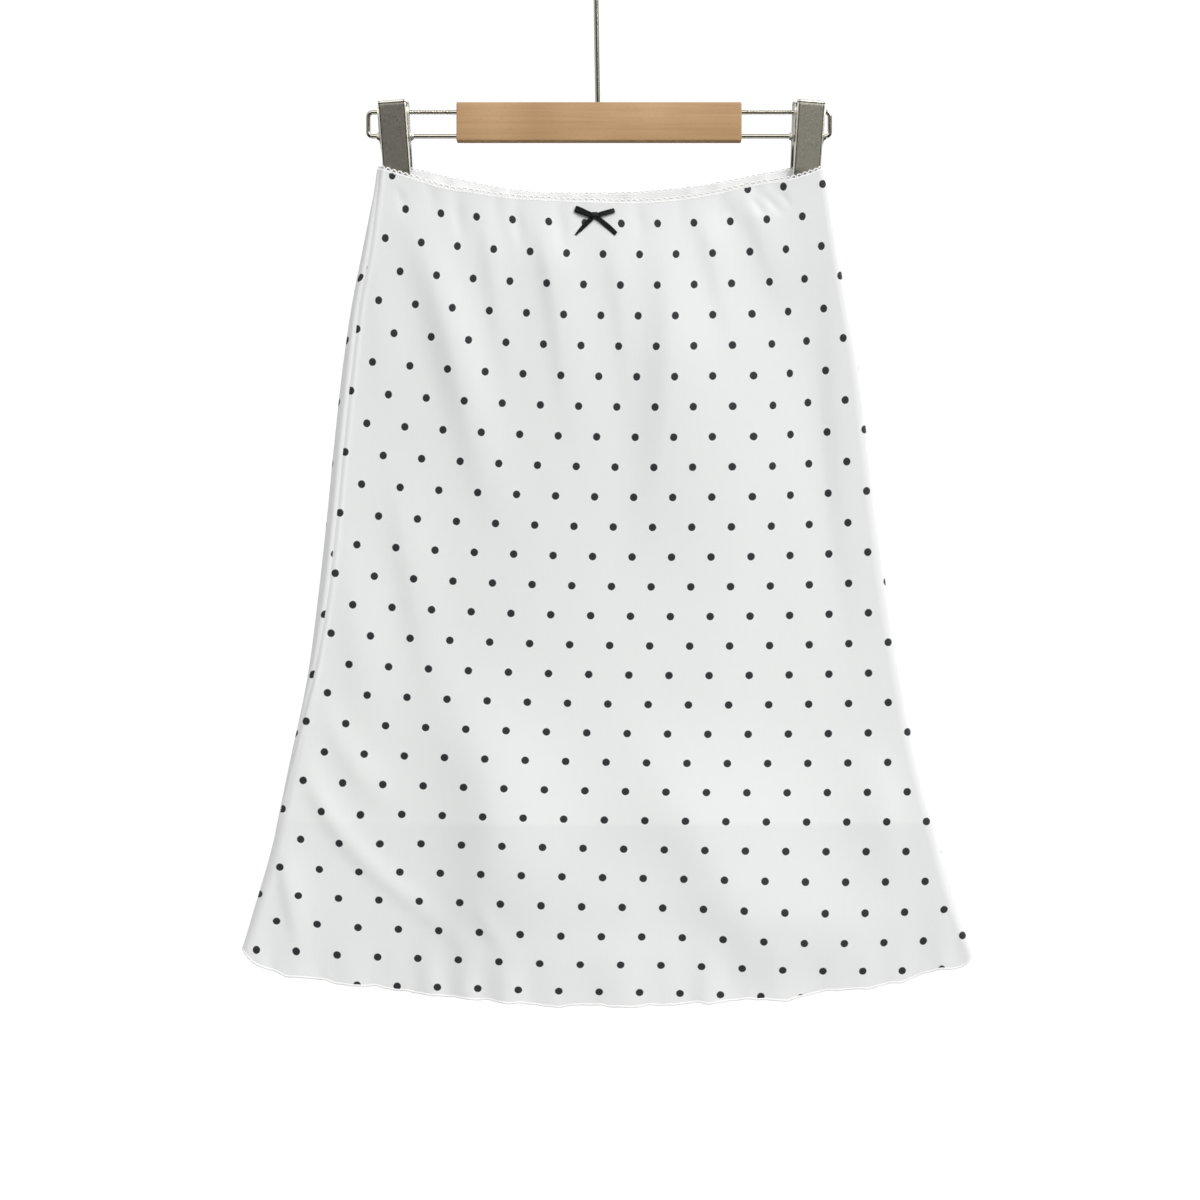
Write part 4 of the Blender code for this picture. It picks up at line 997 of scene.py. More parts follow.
def around(arc, drop):
    """x, y, side and unrolled x of the plain section at an arc length from the left outline.

    The arc runs over the front to the right outline, and back over the back. Side is -1 on
    the front and 1 on the back.
    """
    half = half_round(drop)
    radius = level("side_radius", drop)
    left = level("left", drop)
    right = level("right", drop)
    quarter = math.pi * radius / 2
    turned = np.mod(arc, 2 * half)
    side = np.where(turned < half, -1.0, 1.0)
    along = np.where(turned < half, turned, 2 * half - turned)
    near_left = along < quarter
    near_right = along > half - quarter
    turn = np.where(near_left, along, np.where(near_right, half - along, quarter)) / radius
    x = left + radius + along - quarter
    x = np.where(near_left, left + radius * (1 - np.cos(turn)), x)
    x = np.where(near_right, right - radius * (1 - np.cos(turn)), x)
    middle = (left + right) / 2
    flat_share = np.clip(np.abs(x - middle) / ((right - left) / 2 - radius), 0, 1)
    swell = (level("half_depth", drop) - radius) * np.cos(math.pi * flat_share / 2) ** 2
    reach = np.where(near_left | near_right, radius * np.sin(turn), radius + swell)
    return x, level("mid_y", drop) + side * reach, side, left + radius - quarter


def away_from_sides(x, drop):
    """0 at the outline, rising to 1 at SIDE_FADE inside it."""
    inside = np.minimum(x - level("left", drop), level("right", drop) - x)
    return 1 - fade(inside / SIDE_FADE)


def fold_relief(x, drop, folds):
    """How far the folds push the cloth out."""
    out = np.zeros_like(x)
    for line, left_width, right_width, reach, peak in folds:
        first, last = line[0][1], line[-1][1]
        crest = through(line, EDGE_COLUMNS, "drop", "x", drop)
        lean = (through(line, EDGE_COLUMNS, "drop", "x", drop + 1) - crest) * (drop < last - 1)
        beside = (x - crest) / np.sqrt(1 + lean**2)
        width = np.where(beside < 0, left_width, right_width)
        share = (drop - first) / (last - first)
        ends = (1 - fade(share / peak)) * fade((share - peak) / (1 - peak))
        out += reach * ends * np.exp(-((beside / width) ** 2))
    return out


def gather_relief(x, drop, waist_drop, gathers):
    """How far the gathers under the elastic draw the cloth in, as a number below nothing."""
    out = np.zeros_like(x)
    below = drop - waist_drop
    for at, shift, length, half_width, depth in gathers:
        share = np.clip(below / length, 0, 1)
        spread = 1 + 0.5 * share
        centre = at + shift * share
        out -= depth * fade(share) * np.exp(-(((x - centre) / (half_width * spread)) ** 2))
    return out


def wave_sum(x, waves, wanted):
    """The sum of one column of the hem's waves, each a soft bell round its x."""
    total = np.zeros_like(x)
    for row in waves:
        wave = dict(zip(WAVE_COLUMNS, row))
        total += wave[wanted] * np.exp(-(((x - wave["x"]) / wave["half_width"]) ** 2))
    return total


def ripple(x, side):
    """The small uneven ripple that the hem's thread draws the edge into, from -1 to 1."""
    phase = 2 * math.pi * x / RIPPLE_PITCH
    return 0.6 * np.sin(phase + 1.7 * np.sin(x / 47.0 + side)) + 0.4 * np.sin(1.63 * phase + 2.0 * side)


def edge_drops(x, side, drop):
    """The drops of the waist edge and of the hem above and below a point."""
    waist = np.where(
        side < 0,
        through(FRONT_WAIST, EDGE_COLUMNS, "x", "drop", x),
        through(BACK_WAIST, EDGE_COLUMNS, "x", "drop", x),
    )
    middle = (level("left", drop) + level("right", drop)) / 2
    half_width = (level("right", drop) - level("left", drop)) / 2
    across = np.clip((x - middle) / half_width, -1, 1)
    hem_x = across * HEM_HALF_WIDTH + HEM_MIDDLE
    wave_share = fade(6 * (np.abs(across) - WAVE_CALM_FROM))
    front_hem = through(FRONT_HEM, HEM_COLUMNS, "across", "drop", across)
    front_hem = front_hem + wave_sum(hem_x, FRONT_WAVES, "dip") * wave_share
    back_hem = through(BACK_HEM, HEM_COLUMNS, "across", "drop", across)
    back_hem = back_hem + wave_sum(hem_x, BACK_WAVES, "dip") * wave_share
    hem = np.where(side < 0, front_hem, back_hem)
    return waist, hem + RIPPLE_DIP * ripple(x, side) * wave_share


def left_seam(drop):
    """The arc length at which the front panel starts."""
    return level("seam_left", drop)


def right_seam(drop):
    """The arc length at which the front panel ends and the back panel starts."""
    return half_round(drop) + level("seam_right", drop)


def left_seam_again(drop):
    """The arc length at which the back panel ends, once round from the left seam."""
    return 2 * half_round(drop) + level("seam_left", drop)


PANEL_SEAMS = {"front": (left_seam, right_seam), "back": (right_seam, left_seam_again)}


def cloth_points(panel, share, down, in_mm=False):
    """Outer points of the cloth in millimetres, and the unrolled x and the drop there.

    share runs from 0 to 1 round the panel from its first seam, and down from 0 at the
    waist edge to 1 at the hem. With in_mm, down is in millimetres below the waist edge.
    """
    first_seam, last_seam = PANEL_SEAMS[panel]
    drop = FIRST_WAIST + (0.0 if in_mm else FIRST_LENGTH) * down
    for _ in range(DROP_ROUNDS):
        first = first_seam(drop)
        arc = first + (last_seam(drop) - first) * share
        x, y, side, origin = around(arc, drop)
        waist, hem = edge_drops(x, side, drop)
        drop = waist + (down if in_mm else (hem - waist) * down)
    front = fold_relief(x, drop, FRONT_FOLDS) + fold_relief(x, drop, FRONT_CREASES)
    front = front + gather_relief(x, drop, waist, FRONT_GATHERS)
    back = fold_relief(x, drop, BACK_FOLDS) + fold_relief(x, drop, BACK_CREASES)
    back = back + gather_relief(x, drop, waist, BACK_GATHERS)
    out = np.where(side < 0, front, back)
    rise = fade((hem - drop) / WAVE_HEIGHT) ** 1.5
    waves = np.where(side < 0, wave_sum(x, FRONT_WAVES, "out"), wave_sum(x, BACK_WAVES, "out"))
    out = out + rise * (waves * WAVE_SHARE - WAVE_MIDDLE)
    out = out + RIPPLE_OUT * ripple(x + 4.0, side) * fade((hem - drop) / RIPPLE_HEIGHT)
    out = out * away_from_sides(x, drop)
    span = last_seam(drop) - first_seam(drop)
    seam_at = np.minimum(share, 1 - share) * span
    dip, dip_width = SEAM_DIP
    ridge, ridge_at, ridge_width = SEAM_RIDGE
    seam_relief = ridge * np.exp(-(((seam_at - ridge_at) / ridge_width) ** 2))
    seam_relief = seam_relief - dip * np.exp(-((seam_at / dip_width) ** 2))
    if panel == "back":
        unrolled = origin + 2 * half_round(drop) - arc
    else:
        unrolled = origin + arc
    points = np.stack([x, y + side * out, -drop], axis=-1)
    fade_from, fade_over = SEAM_FADE
    return points, seam_relief * fade((drop - fade_from) / fade_over), unrolled, drop


def cloth_at(panel, share, down, in_mm=False):
    """Outer points in millimetres, unit normals out of the cloth, unrolled x and drop."""
    share, down = np.broadcast_arrays(np.asarray(share, float), np.asarray(down, float))
    points, relief, unrolled, drop = cloth_points(panel, share, down, in_mm)
    step = SLOPE_DOWN_MM if in_mm else SLOPE_DOWN
    along = cloth_points(panel, share + SLOPE_ROUND, down, in_mm)[0]
    along = along - cloth_points(panel, share - SLOPE_ROUND, down, in_mm)[0]
    lower = cloth_points(panel, share, down + step, in_mm)[0]
    lower = lower - cloth_points(panel, share, down - step, in_mm)[0]
    normals = unit(np.cross(lower, along))
    return points + normals * relief[..., None], normals, unrolled, drop


def print_place(panel, points, unrolled, drop):
    """Where a point lies in the printed lattice: dots stand where both numbers are whole."""
    nearer = CAMERA_DISTANCE / MM / (CAMERA_DISTANCE / MM + points[..., 1])
    middle_x, middle_drop = PRINT_MIDDLE
    seen_x = (0.4 * unrolled + 0.6 * points[..., 0]) * nearer
    seen_drop = -CAMERA_HEIGHT / MM + (drop + CAMERA_HEIGHT / MM) * nearer
    if panel == "back":
        middle_x, middle_drop = BACK_PRINT_MIDDLE
        seen_x = unrolled
        seen_drop = drop
    else:
        for x, at, reach_across, reach_down, aside, down in PRINT_STRETCH:
            share = np.exp(-(((points[..., 0] - x) / reach_across) ** 2) - ((drop - at) / reach_down) ** 2)
            seen_x = seen_x - aside * share
            seen_drop = seen_drop - down * share
    u = np.zeros_like(unrolled)
    v = np.zeros_like(unrolled)
    a, d = PRINT_ACROSS, PRINT_DOWN
    for _ in range(PRINT_ROUNDS):
        across = seen_x - middle_x - a["v"] * v - a["uv"] * u * v - a["uvv"] * u * v**2 - a["uuu"] * u**3
        down = seen_drop - middle_drop - d["u"] * u - d["vv"] * v**2
        down = down - d["uu"] * u**2 - d["uv"] * u * v - d["uuv"] * u**2 * v
        u = across / a["u"]
        v = down / d["v"]
    return np.stack([u - v / 2, v], axis=-1)


def placed(name, data):
    """An object for a mesh, a lamp or a camera, linked into the scene."""
    made = bpy.data.objects.new(name, data)
    bpy.context.scene.collection.objects.link(made)
    return made


def finish_mesh(name, points, faces, materials, uv_maps=None, face_materials=None, smooth_angle=40.0):
    """A mesh object from points in metres, its faces turned outwards, riding on the root."""
    mesh = bpy.data.meshes.new(name)
    mesh.from_pydata(np.asarray(points, float).tolist(), [], faces)
    if face_materials is not None:
        mesh.polygons.foreach_set("material_index", face_materials)
    corners = np.empty(len(mesh.loops), dtype=np.int32)
    mesh.loops.foreach_get("vertex_index", corners)
    for map_name, values in (uv_maps or {}).items():
        layer = mesh.uv_layers.new(name=map_name)
        layer.uv.foreach_set("vector", np.asarray(values, np.float32)[corners].ravel())
    shape = bmesh.new()
    shape.from_mesh(mesh)
    bmesh.ops.recalc_face_normals(shape, faces=shape.faces)
    shape.to_mesh(mesh)
    shape.free()
    mesh.shade_smooth()
    mesh.set_sharp_from_angle(angle=math.radians(smooth_angle))
    for material in materials:
        mesh.materials.append(material)
    made = placed(name, mesh)
    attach(made, "root")
    return made


def shell(name, outer, inner, uv_maps, materials):
    """A thin closed sheet between two grids of points in metres. Its inside takes the last material."""
    rows, columns = outer.shape[:2]
    corner = (np.arange(rows - 1)[:, None] * columns + np.arange(columns - 1)).ravel()
    quads = np.stack([corner, corner + columns, corner + columns + 1, corner + 1], axis=1)
    behind = quads[:, ::-1] + rows * columns
    border = [place for place in range(columns)]
    border += [row * columns + columns - 1 for row in range(1, rows)]
    border += [(rows - 1) * columns + place for place in range(columns - 2, -1, -1)]
    border += [row * columns for row in range(rows - 2, 0, -1)]
    border = np.array(border)
    after = np.roll(border, -1)
    rim = np.stack([border, after, after + rows * columns, border + rows * columns], axis=1)
    faces = np.concatenate([quads, behind, rim]).tolist()
    kinds = np.zeros(len(faces), np.int32)
    kinds[len(quads):len(quads) * 2] = len(materials) - 1
    points = np.concatenate([outer.reshape(-1, 3), inner.reshape(-1, 3)])
    maps = {key: np.concatenate([value.reshape(-1, 2)] * 2) for key, value in uv_maps.items()}
    return finish_mesh(name, points, faces, materials, maps, kinds, 60.0)


def crowded(count, crowding):
    """Steps from 0 to 1 that lie closer together near both ends."""
    steps = np.linspace(0, 1, count + 1)
    return steps - crowding * np.sin(2 * math.pi * steps) / (2 * math.pi)


def ring_faces(rings, sides, looped=False):
    """Faces over rings of points: closed with a cap at each end, or looped back to the first."""
    faces = []
    if not looped:
        faces = [tuple(range(sides)), tuple(reversed(range((rings - 1) * sides, rings * sides)))]
    for ring in range(rings if looped else rings - 1):
        here = ring * sides
        after = (ring + 1) % rings * sides
        for side in range(sides):
            beyond = (side + 1) % sides
            faces.append((here + side, after + side, after + beyond, here + beyond))
    return faces


def tube(path, radii, across, sides, flat=1.0):
    """Points, faces and lengthwise map of a tube along a path, closed at its ends.

    across is a direction off the path, or one for each point, and flat is the tube's
    thickness along it as a share of its width.
    """
    path = np.asarray(path, float)
    count = len(path)
    radii = np.broadcast_to(np.asarray(radii, float), (count,))
    tangent = unit(np.gradient(path, axis=0))
    beside = unit(np.cross(tangent, np.broadcast_to(across, (count, 3))))
    towards = np.cross(beside, tangent)
    angles = 2 * math.pi * np.arange(sides) / sides
    ring = beside[:, None] * np.cos(angles)[:, None] + flat * towards[:, None] * np.sin(angles)[:, None]
    points = (path[:, None] + ring * radii[:, None, None]).reshape(-1, 3)
    lengths = lengths_along(path)
    girth = np.linspace(0, 1, sides, endpoint=False) * 2 * math.pi * radii[:, None]
    lengthwise = np.stack([np.broadcast_to(lengths[:, None], girth.shape), girth], axis=-1).reshape(-1, 2)
    return points, ring_faces(count, sides), lengthwise


def tube_piece(name, path, radii, across, sides, material, flat=1.0):
    """A piece that is one tube along a path in millimetres."""
    points, faces, lengthwise = tube(path, radii, across, sides, flat)
    return finish_mesh(name, points * MM, faces, [material], {"cloth": lengthwise * MM})


def joined(parts):
    """Points, faces and maps of several tubes as one."""
    points, faces, maps = [], [], []
    start = 0
    for part_points, part_faces, part_map in parts:
        points.append(part_points)
        faces += [tuple(start + index for index in face) for face in part_faces]
        maps.append(part_map)
        start += len(part_points)
    return np.concatenate(points), faces, np.concatenate(maps)


def smooth_path(points, count):
    """A smooth curve through points with any number of columns, at even steps."""
    points = np.asarray(points, float)
    knots = lengths_along(points[:, :3])
    names = ("at", "value")
    at = np.linspace(0, knots[-1], count)
    curves = [through(list(zip(knots, values)), names, "at", "value", at) for values in points.T]
    return np.stack(curves, axis=1)


def box_mesh(name, centre, size, bevel_width, bevel_segments):
    """A box with rounded edges as a bare object, in metres."""
    shape = bmesh.new()
    bmesh.ops.create_cube(shape, size=1.0, matrix=Matrix.Translation(centre) @ Matrix.Diagonal((*size, 1.0)))
    bmesh.ops.bevel(
        shape, geom=list(shape.edges), offset=bevel_width, segments=bevel_segments, profile=0.5,
        affect="EDGES",
    )
    mesh = bpy.data.meshes.new(name)
    shape.to_mesh(mesh)
    shape.free()
    return placed(name, mesh)


def cylinder(name, start, end, radius):
    """A plain rod that a Boolean takes away."""
    axis = end - start
    shape = bmesh.new()
    turn = axis.to_track_quat("Z", "Y").to_matrix().to_4x4()
    bmesh.ops.create_cone(
        shape, cap_ends=True, segments=HOOK_SIDES, radius1=radius, radius2=radius, depth=axis.length,
        matrix=Matrix.Translation((start + end) / 2) @ turn,
    )
    mesh = bpy.data.meshes.new(name)
    shape.to_mesh(mesh)
    shape.free()
    return placed(name, mesh)


def carved(made, cutters):
    """The object's mesh with the cutters taken away, which are then removed."""
    for cutter in cutters:
        taken = made.modifiers.new("cut", "BOOLEAN")
        taken.operation = "DIFFERENCE"
        taken.solver = "EXACT"
        taken.object = cutter
    evaluated = made.evaluated_get(bpy.context.evaluated_depsgraph_get())
    mesh = bpy.data.meshes.new_from_object(evaluated)
    bpy.data.objects.remove(made, do_unlink=True)
    for cutter in cutters:
        bpy.data.objects.remove(cutter, do_unlink=True)
    return mesh


def rigid_piece(name, mesh, material, smooth_angle=35.0):
    """An object for a finished mesh in metres, riding on the root."""
    mesh.name = name
    mesh.shade_smooth()
    mesh.set_sharp_from_angle(angle=math.radians(smooth_angle))
    mesh.materials.clear()
    mesh.materials.append(material)
    made = placed(name, mesh)
    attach(made, "root")
    return made


class SKIRT_OT_add_panels(bpy.types.Operator):
    """Adds the front and the back panel with their folds, gathers and printed dots"""

    bl_idname = "skirt.add_panels"
    bl_label = "Add cloth panels"

    def execute(self, context):
        thickness = context.scene.skirt_cloth.cloth_thickness
        wrong = shared("printed_jersey_wrong_side", printed_jersey, "printed_jersey_wrong_side", 0.16, False)
        for panel in ("front", "back"):
            share = crowded(PANEL_COLUMNS[panel], COLUMN_CROWDING)[None, :]
            down = crowded(PANEL_ROWS[panel], ROW_CROWDING)[:, None]
            points, normals, unrolled, drop = cloth_at(panel, share, down)
            outer = points * MM
            inner = outer - normals * thickness
            maps = {
                "print": print_place(panel, points, unrolled, drop),
                "cloth": np.stack([unrolled, drop], axis=-1) * MM,
            }
            face = f"printed_jersey_{panel}"
            right = shared(face, printed_jersey, face, 1.0, panel == "front")
            piece = shell(f"skirt_{panel}", outer, inner, maps, [right, wrong])
            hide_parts(f"{panel}_panel")
        return {"FINISHED"}


class SKIRT_OT_add_hem(bpy.types.Operator):
    """Adds the narrow rolled hem, wrapped with white thread"""

    bl_idname = "skirt.add_hem"
    bl_label = "Add rolled hem"

    def execute(self, context):
        thread = shared("hem_overlock_thread", spun_thread, "hem_overlock_thread", 1.1)
        for panel in ("front", "back"):
            share = crowded(ROLL_STEPS, TRIM_CROWDING)
            points, normals, _, _ = cloth_at(panel, share, np.ones_like(share))
            higher, _, _, _ = cloth_at(panel, share, np.full_like(share, 0.998))
            centre = points + unit(higher - points) * (ROLL_HALF_HEIGHT - ROLL_BELOW_EDGE)
            piece = tube_piece(
                f"hem_roll_{panel}", centre - normals * ROLL_BEHIND, ROLL_HALF_HEIGHT, normals, ROLL_SIDES,
                thread, ROLL_HALF_DEPTH / ROLL_HALF_HEIGHT,
            )
        return {"FINISHED"}


class SKIRT_OT_add_side_seams(bpy.types.Operator):
    """Adds the overlocked seam allowances that lie inside the skirt at its sides"""

    bl_idname = "skirt.add_side_seams"
    bl_label = "Add side seam allowances"

    def execute(self, context):
        thread = shared("seam_overlock_thread", spun_thread, "seam_overlock_thread", 2.2)
        inside = context.scene.skirt_cloth.cloth_thickness / MM + ALLOWANCE_GAP
        steps = np.array(ALLOWANCE_STEPS)
        down = np.linspace(*ALLOWANCE_ENDS, ALLOWANCE_ROWS)[:, None]
        for word, near_end in (("right", 0.0), ("left", 1.0)):
            share = np.abs(near_end - steps / PANEL_WIDTH)[None, :]
            points, normals, _, drop = cloth_at("back", share, down)
            outer = points - normals * inside
            inner = outer - normals * ALLOWANCE_THICK
            maps = {"cloth": np.stack([drop, steps + 0 * drop], axis=-1) * MM}
            piece = shell(f"seam_allowance_{word}", outer * MM, inner * MM, maps, [thread])
        return {"FINISHED"}


class SKIRT_OT_add_elastic(bpy.types.Operator):
    """Adds the knitted elastic that is sewn inside the waist"""

    bl_idname = "skirt.add_elastic"
    bl_label = "Add waist elastic"

    def execute(self, context):
        knit = shared("knitted_elastic", knitted_elastic)
        inside = context.scene.skirt_cloth.cloth_thickness / MM + ELASTIC_INSIDE
        for panel in ("front", "back"):
            share = crowded(ELASTIC_COLUMNS, TRIM_CROWDING)[None, :]
            below = np.array(ELASTIC_ROWS)[:, None]
            points, normals, unrolled, _ = cloth_at(panel, share, below, in_mm=True)
            outer = points - normals * inside
            inner = outer - normals * ELASTIC_THICK
            below = np.broadcast_to(below, unrolled.shape)
            maps = {"cloth": np.stack([unrolled, below], axis=-1) * MM}
            piece = shell(f"elastic_band_{panel}", outer * MM, inner * MM, maps, [knit])
            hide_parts(f"waist_elastic_{panel}")
        return {"FINISHED"}


class SKIRT_OT_add_picot(bpy.types.Operator):
    """Adds the row of small thread loops that stands on the elastic's upper edge"""

    bl_idname = "skirt.add_picot"
    bl_label = "Add picot loops"

    def execute(self, context):
        thread = shared("picot_thread", spun_thread, "picot_thread", 0.7)
        inside = context.scene.skirt_cloth.cloth_thickness / MM + ELASTIC_INSIDE + ELASTIC_THICK / 2
        turns = np.linspace(0, math.pi, PICOT_STEPS)
        for panel in ("front", "back"):
            ends = cloth_at(panel, np.array([0.0, 1.0]), np.zeros(2))[2]
            span = abs(ends[1] - ends[0])
            count = int(span / PICOT_PITCH)
            parts = []
            for index in range(count):
                first = (index + 0.5) / count - PICOT_SPAN / span / 2
                uneven = 1 + 0.07 * math.sin(index * 2.3) + 0.05 * math.sin(index * 0.9 + 1)
                share = first + PICOT_SPAN / span * (1 - np.cos(turns)) / 2
                above = ELASTIC_TOP + PICOT_SUNK - PICOT_HEIGHT[panel] * uneven * np.sin(turns)
                points, normals, _, _ = cloth_at(panel, share, above, in_mm=True)
                parts.append(tube(points - normals * inside, PICOT_THREAD[panel], normals, PICOT_SIDES))
            points, faces, lengthwise = joined(parts)
            piece = finish_mesh(
                f"picot_loops_{panel}", points * MM, faces, [thread], {"cloth": lengthwise * MM}
            )
        return {"FINISHED"}


class SKIRT_OT_add_stitching(bpy.types.Operator):
    """Adds the zigzag stitches that hold the elastic, just below the waist edge"""

    bl_idname = "skirt.add_stitching"
    bl_label = "Add waist stitching"

    def execute(self, context):
        thread = shared("waist_stitch_thread", spun_thread, "waist_stitch_thread", 0.6)
        for panel in ("front", "back"):
            ends = cloth_at(panel, np.array([0.0, 1.0]), np.zeros(2))[2]
            count = int(abs(ends[1] - ends[0]) / STITCH_PITCH)
            share = (np.arange(2 * count + 1)) / (2 * count)
            upper, lower = STITCH_ROWS
            turns = np.where(np.arange(2 * count + 1) % 2 == 0, upper, lower)
            middle = (share[1:] + share[:-1]) / 2
            between = np.full_like(middle, (upper + lower) / 2)
            share = np.insert(share, np.arange(1, 2 * count + 1), middle)
            below = np.insert(turns.astype(float), np.arange(1, 2 * count + 1), between)
            points, normals, _, _ = cloth_at(panel, share, below, in_mm=True)
            # The thread dips into the cloth where it turns and stands off it halfway
            off = np.where(np.arange(len(share)) % 2 == 0, *STITCH_OFF)
            path = points + normals * off[:, None]
            piece = tube_piece(f"waist_stitches_{panel}", path, STITCH_THREAD, normals, STITCH_SIDES, thread)
        return {"FINISHED"}


def bow_place(rows):
    """Points off the front cloth for rows of across, up and off from the bow's centre."""
    centre_x, centre_drop = BOW_CENTRE
    share, below = bow_centre_on_cloth(centre_x, centre_drop)
    span = right_seam(np.array([centre_drop]))[0] - left_seam(np.array([centre_drop]))[0]
    points, normals, _, _ = cloth_at("front", share + rows[:, 0] / span, below - rows[:, 1], in_mm=True)
    return points + normals.mean(axis=0) * rows[:, 2:3]


def bow_centre_on_cloth(x, drop):
    """Share round the front panel and millimetres below its waist edge, for an x and a drop."""
    at = np.array([float(drop)])
    arc = level("side_radius", at) * (math.pi / 2 - 1) + x - level("left", at)
    share = (arc - left_seam(at)) / (right_seam(at) - left_seam(at))
    waist = through(FRONT_WAIST, EDGE_COLUMNS, "x", "drop", np.array([float(x)]))
    return share[0], drop - waist[0]


def ribbon(name, rows, material):
    """A thin strip of ribbon along rows of across, up, off and width, its edges a little rounded."""
    rows = smooth_path(rows, RIBBON_STEPS)
    centre = bow_place(rows)
    whole = centre[-1] - centre[0]
    if np.linalg.norm(whole) < 6.0:
        whole = centre[len(centre) // 2] - centre[0]
    beside = unit(np.cross(whole, (0.0, 1.0, 0.0)))
    facing = unit(np.cross(unit(np.gradient(centre, axis=0)), beside))
    points = []
    for height, flips in ((0.5, 1), (-0.5, -1)):
        for place in RIBBON_ACROSS[::flips]:
            thin = RIBBON_EDGE if abs(place) == 1.0 else 1.0
            curl = RIBBON_CURL * place * place
            points.append(
                centre + beside * place * rows[:, 3:4] / 2 + facing * (RIBBON_THICK * height * thin + curl)
            )
    count = len(points)
    skin = np.stack(points, axis=1).reshape(-1, 3)
    maps = np.meshgrid(np.arange(count) * 0.5, lengths_along(centre))
    maps = np.stack(maps[::-1], axis=-1).reshape(-1, 2)
    return finish_mesh(name, skin * MM, ring_faces(len(rows), count), [material], {"cloth": maps * MM})


class SKIRT_OT_add_bow(bpy.types.Operator):
    """Adds the satin ribbon bow: two loops, two tails and the wrapped knot"""

    bl_idname = "skirt.add_bow"
    bl_label = "Add bow"

    def execute(self, context):
        satin = shared("black_satin_ribbon", satin_ribbon)
        nodes = {
            "bow_left_loop": "bow_loop_left", "bow_right_loop": "bow_loop_right",
            "bow_left_tail": "bow_tail_left", "bow_right_tail": "bow_tail_right",
        }
        for name, rows in BOW_PIECES.items():
            piece = ribbon(name, rows, satin)
            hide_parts(nodes[name])
        turns = np.linspace(0, 2 * math.pi, KNOT_SIDES, endpoint=False)
        steps = np.linspace(-1, 1, KNOT_RINGS)
        width, depth, height = (size / 2 for size in KNOT_SIZE)
        centre = bow_place(np.array([[0.0, 0.0, depth + KNOT_OFF, 0.0]]))[0]
        points = []
        for step in steps:
            pinch = 1 - 0.45 * abs(step) ** 5 - 0.05 * math.cos(step * 7)
            for turn in turns:
                crease = 1 + 0.04 * math.cos(3 * turn + 1.2 * step)
                off = depth * pinch * crease * math.sin(turn)
                up = height * pinch * crease * math.cos(turn)
                points.append(centre + np.array([step * width, off, up]))
        faces = ring_faces(KNOT_RINGS, KNOT_SIDES)
        maps = np.meshgrid(steps * width, turns * height, indexing="ij")
        maps = np.stack(maps[::-1], axis=-1).reshape(-1, 2)
        knot = finish_mesh(
            "bow_wrapped_knot", np.array(points) * MM, faces, [satin], {"cloth": maps * MM}, smooth_angle=70.0
        )
        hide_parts("bow_knot")
        return {"FINISHED"}


class SKIRT_OT_declare_sheets(bpy.types.Operator):
    """A step that does nothing and leaves the scene as it is"""

    bl_idname = "skirt.declare_sheets"
    bl_label = "State the cut of the panels"

    def execute(self, context):
        return {"FINISHED"}


class SKIRT_OT_add_bar(bpy.types.Operator):
    """Adds the beech bar with the holes for its wires and hook"""

    bl_idname = "skirt.add_bar"
    bl_label = "Add wooden bar"

    def execute(self, context):
        hanger = context.scene.skirt_hanger
        centre = Vector(BAR_CENTRE) * MM
        size = Vector(BAR_SIZE) * MM
        bar = box_mesh("bar_blank", centre, size, BAR_EDGE_RADIUS * MM, 4)
        cutters = []
        for side in (-1, 1):
            end_x = centre.x + side * size.x / 2
            for height in (WIRE_UPPER_Z, WIRE_LOWER_Z):
                start = Vector((end_x + side * HOLE_LEAD * MM, 0, height * MM))
                stop = Vector((end_x - side * HOLE_DEPTH * MM, 0, height * MM))
                bore = hanger.clip_wire_diameter / 2 + CLIP_WIRE_PLAY * MM
                cutters.append(cylinder("hole", start, stop, bore))
        lean = math.radians(STEM_LEAN)
        along = Vector((-math.sin(lean), 0, math.cos(lean)))
        top = Vector((STEM_FOOT_X * MM, 0, centre.z + size.z / 2))
        bore = hanger.hook_wire_diameter / 2 + HOOK_WIRE_PLAY * MM
        cutters.append(
            cylinder("hole", top + along * HOLE_LEAD * MM, top - along * HOLE_DEPTH * MM, bore)
        )
        mesh = carved(bar, cutters)
        piece = rigid_piece("wooden_bar", mesh, shared("lacquered_beech", lacquered_beech))
        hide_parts("hanger_bar")
        return {"FINISHED"}


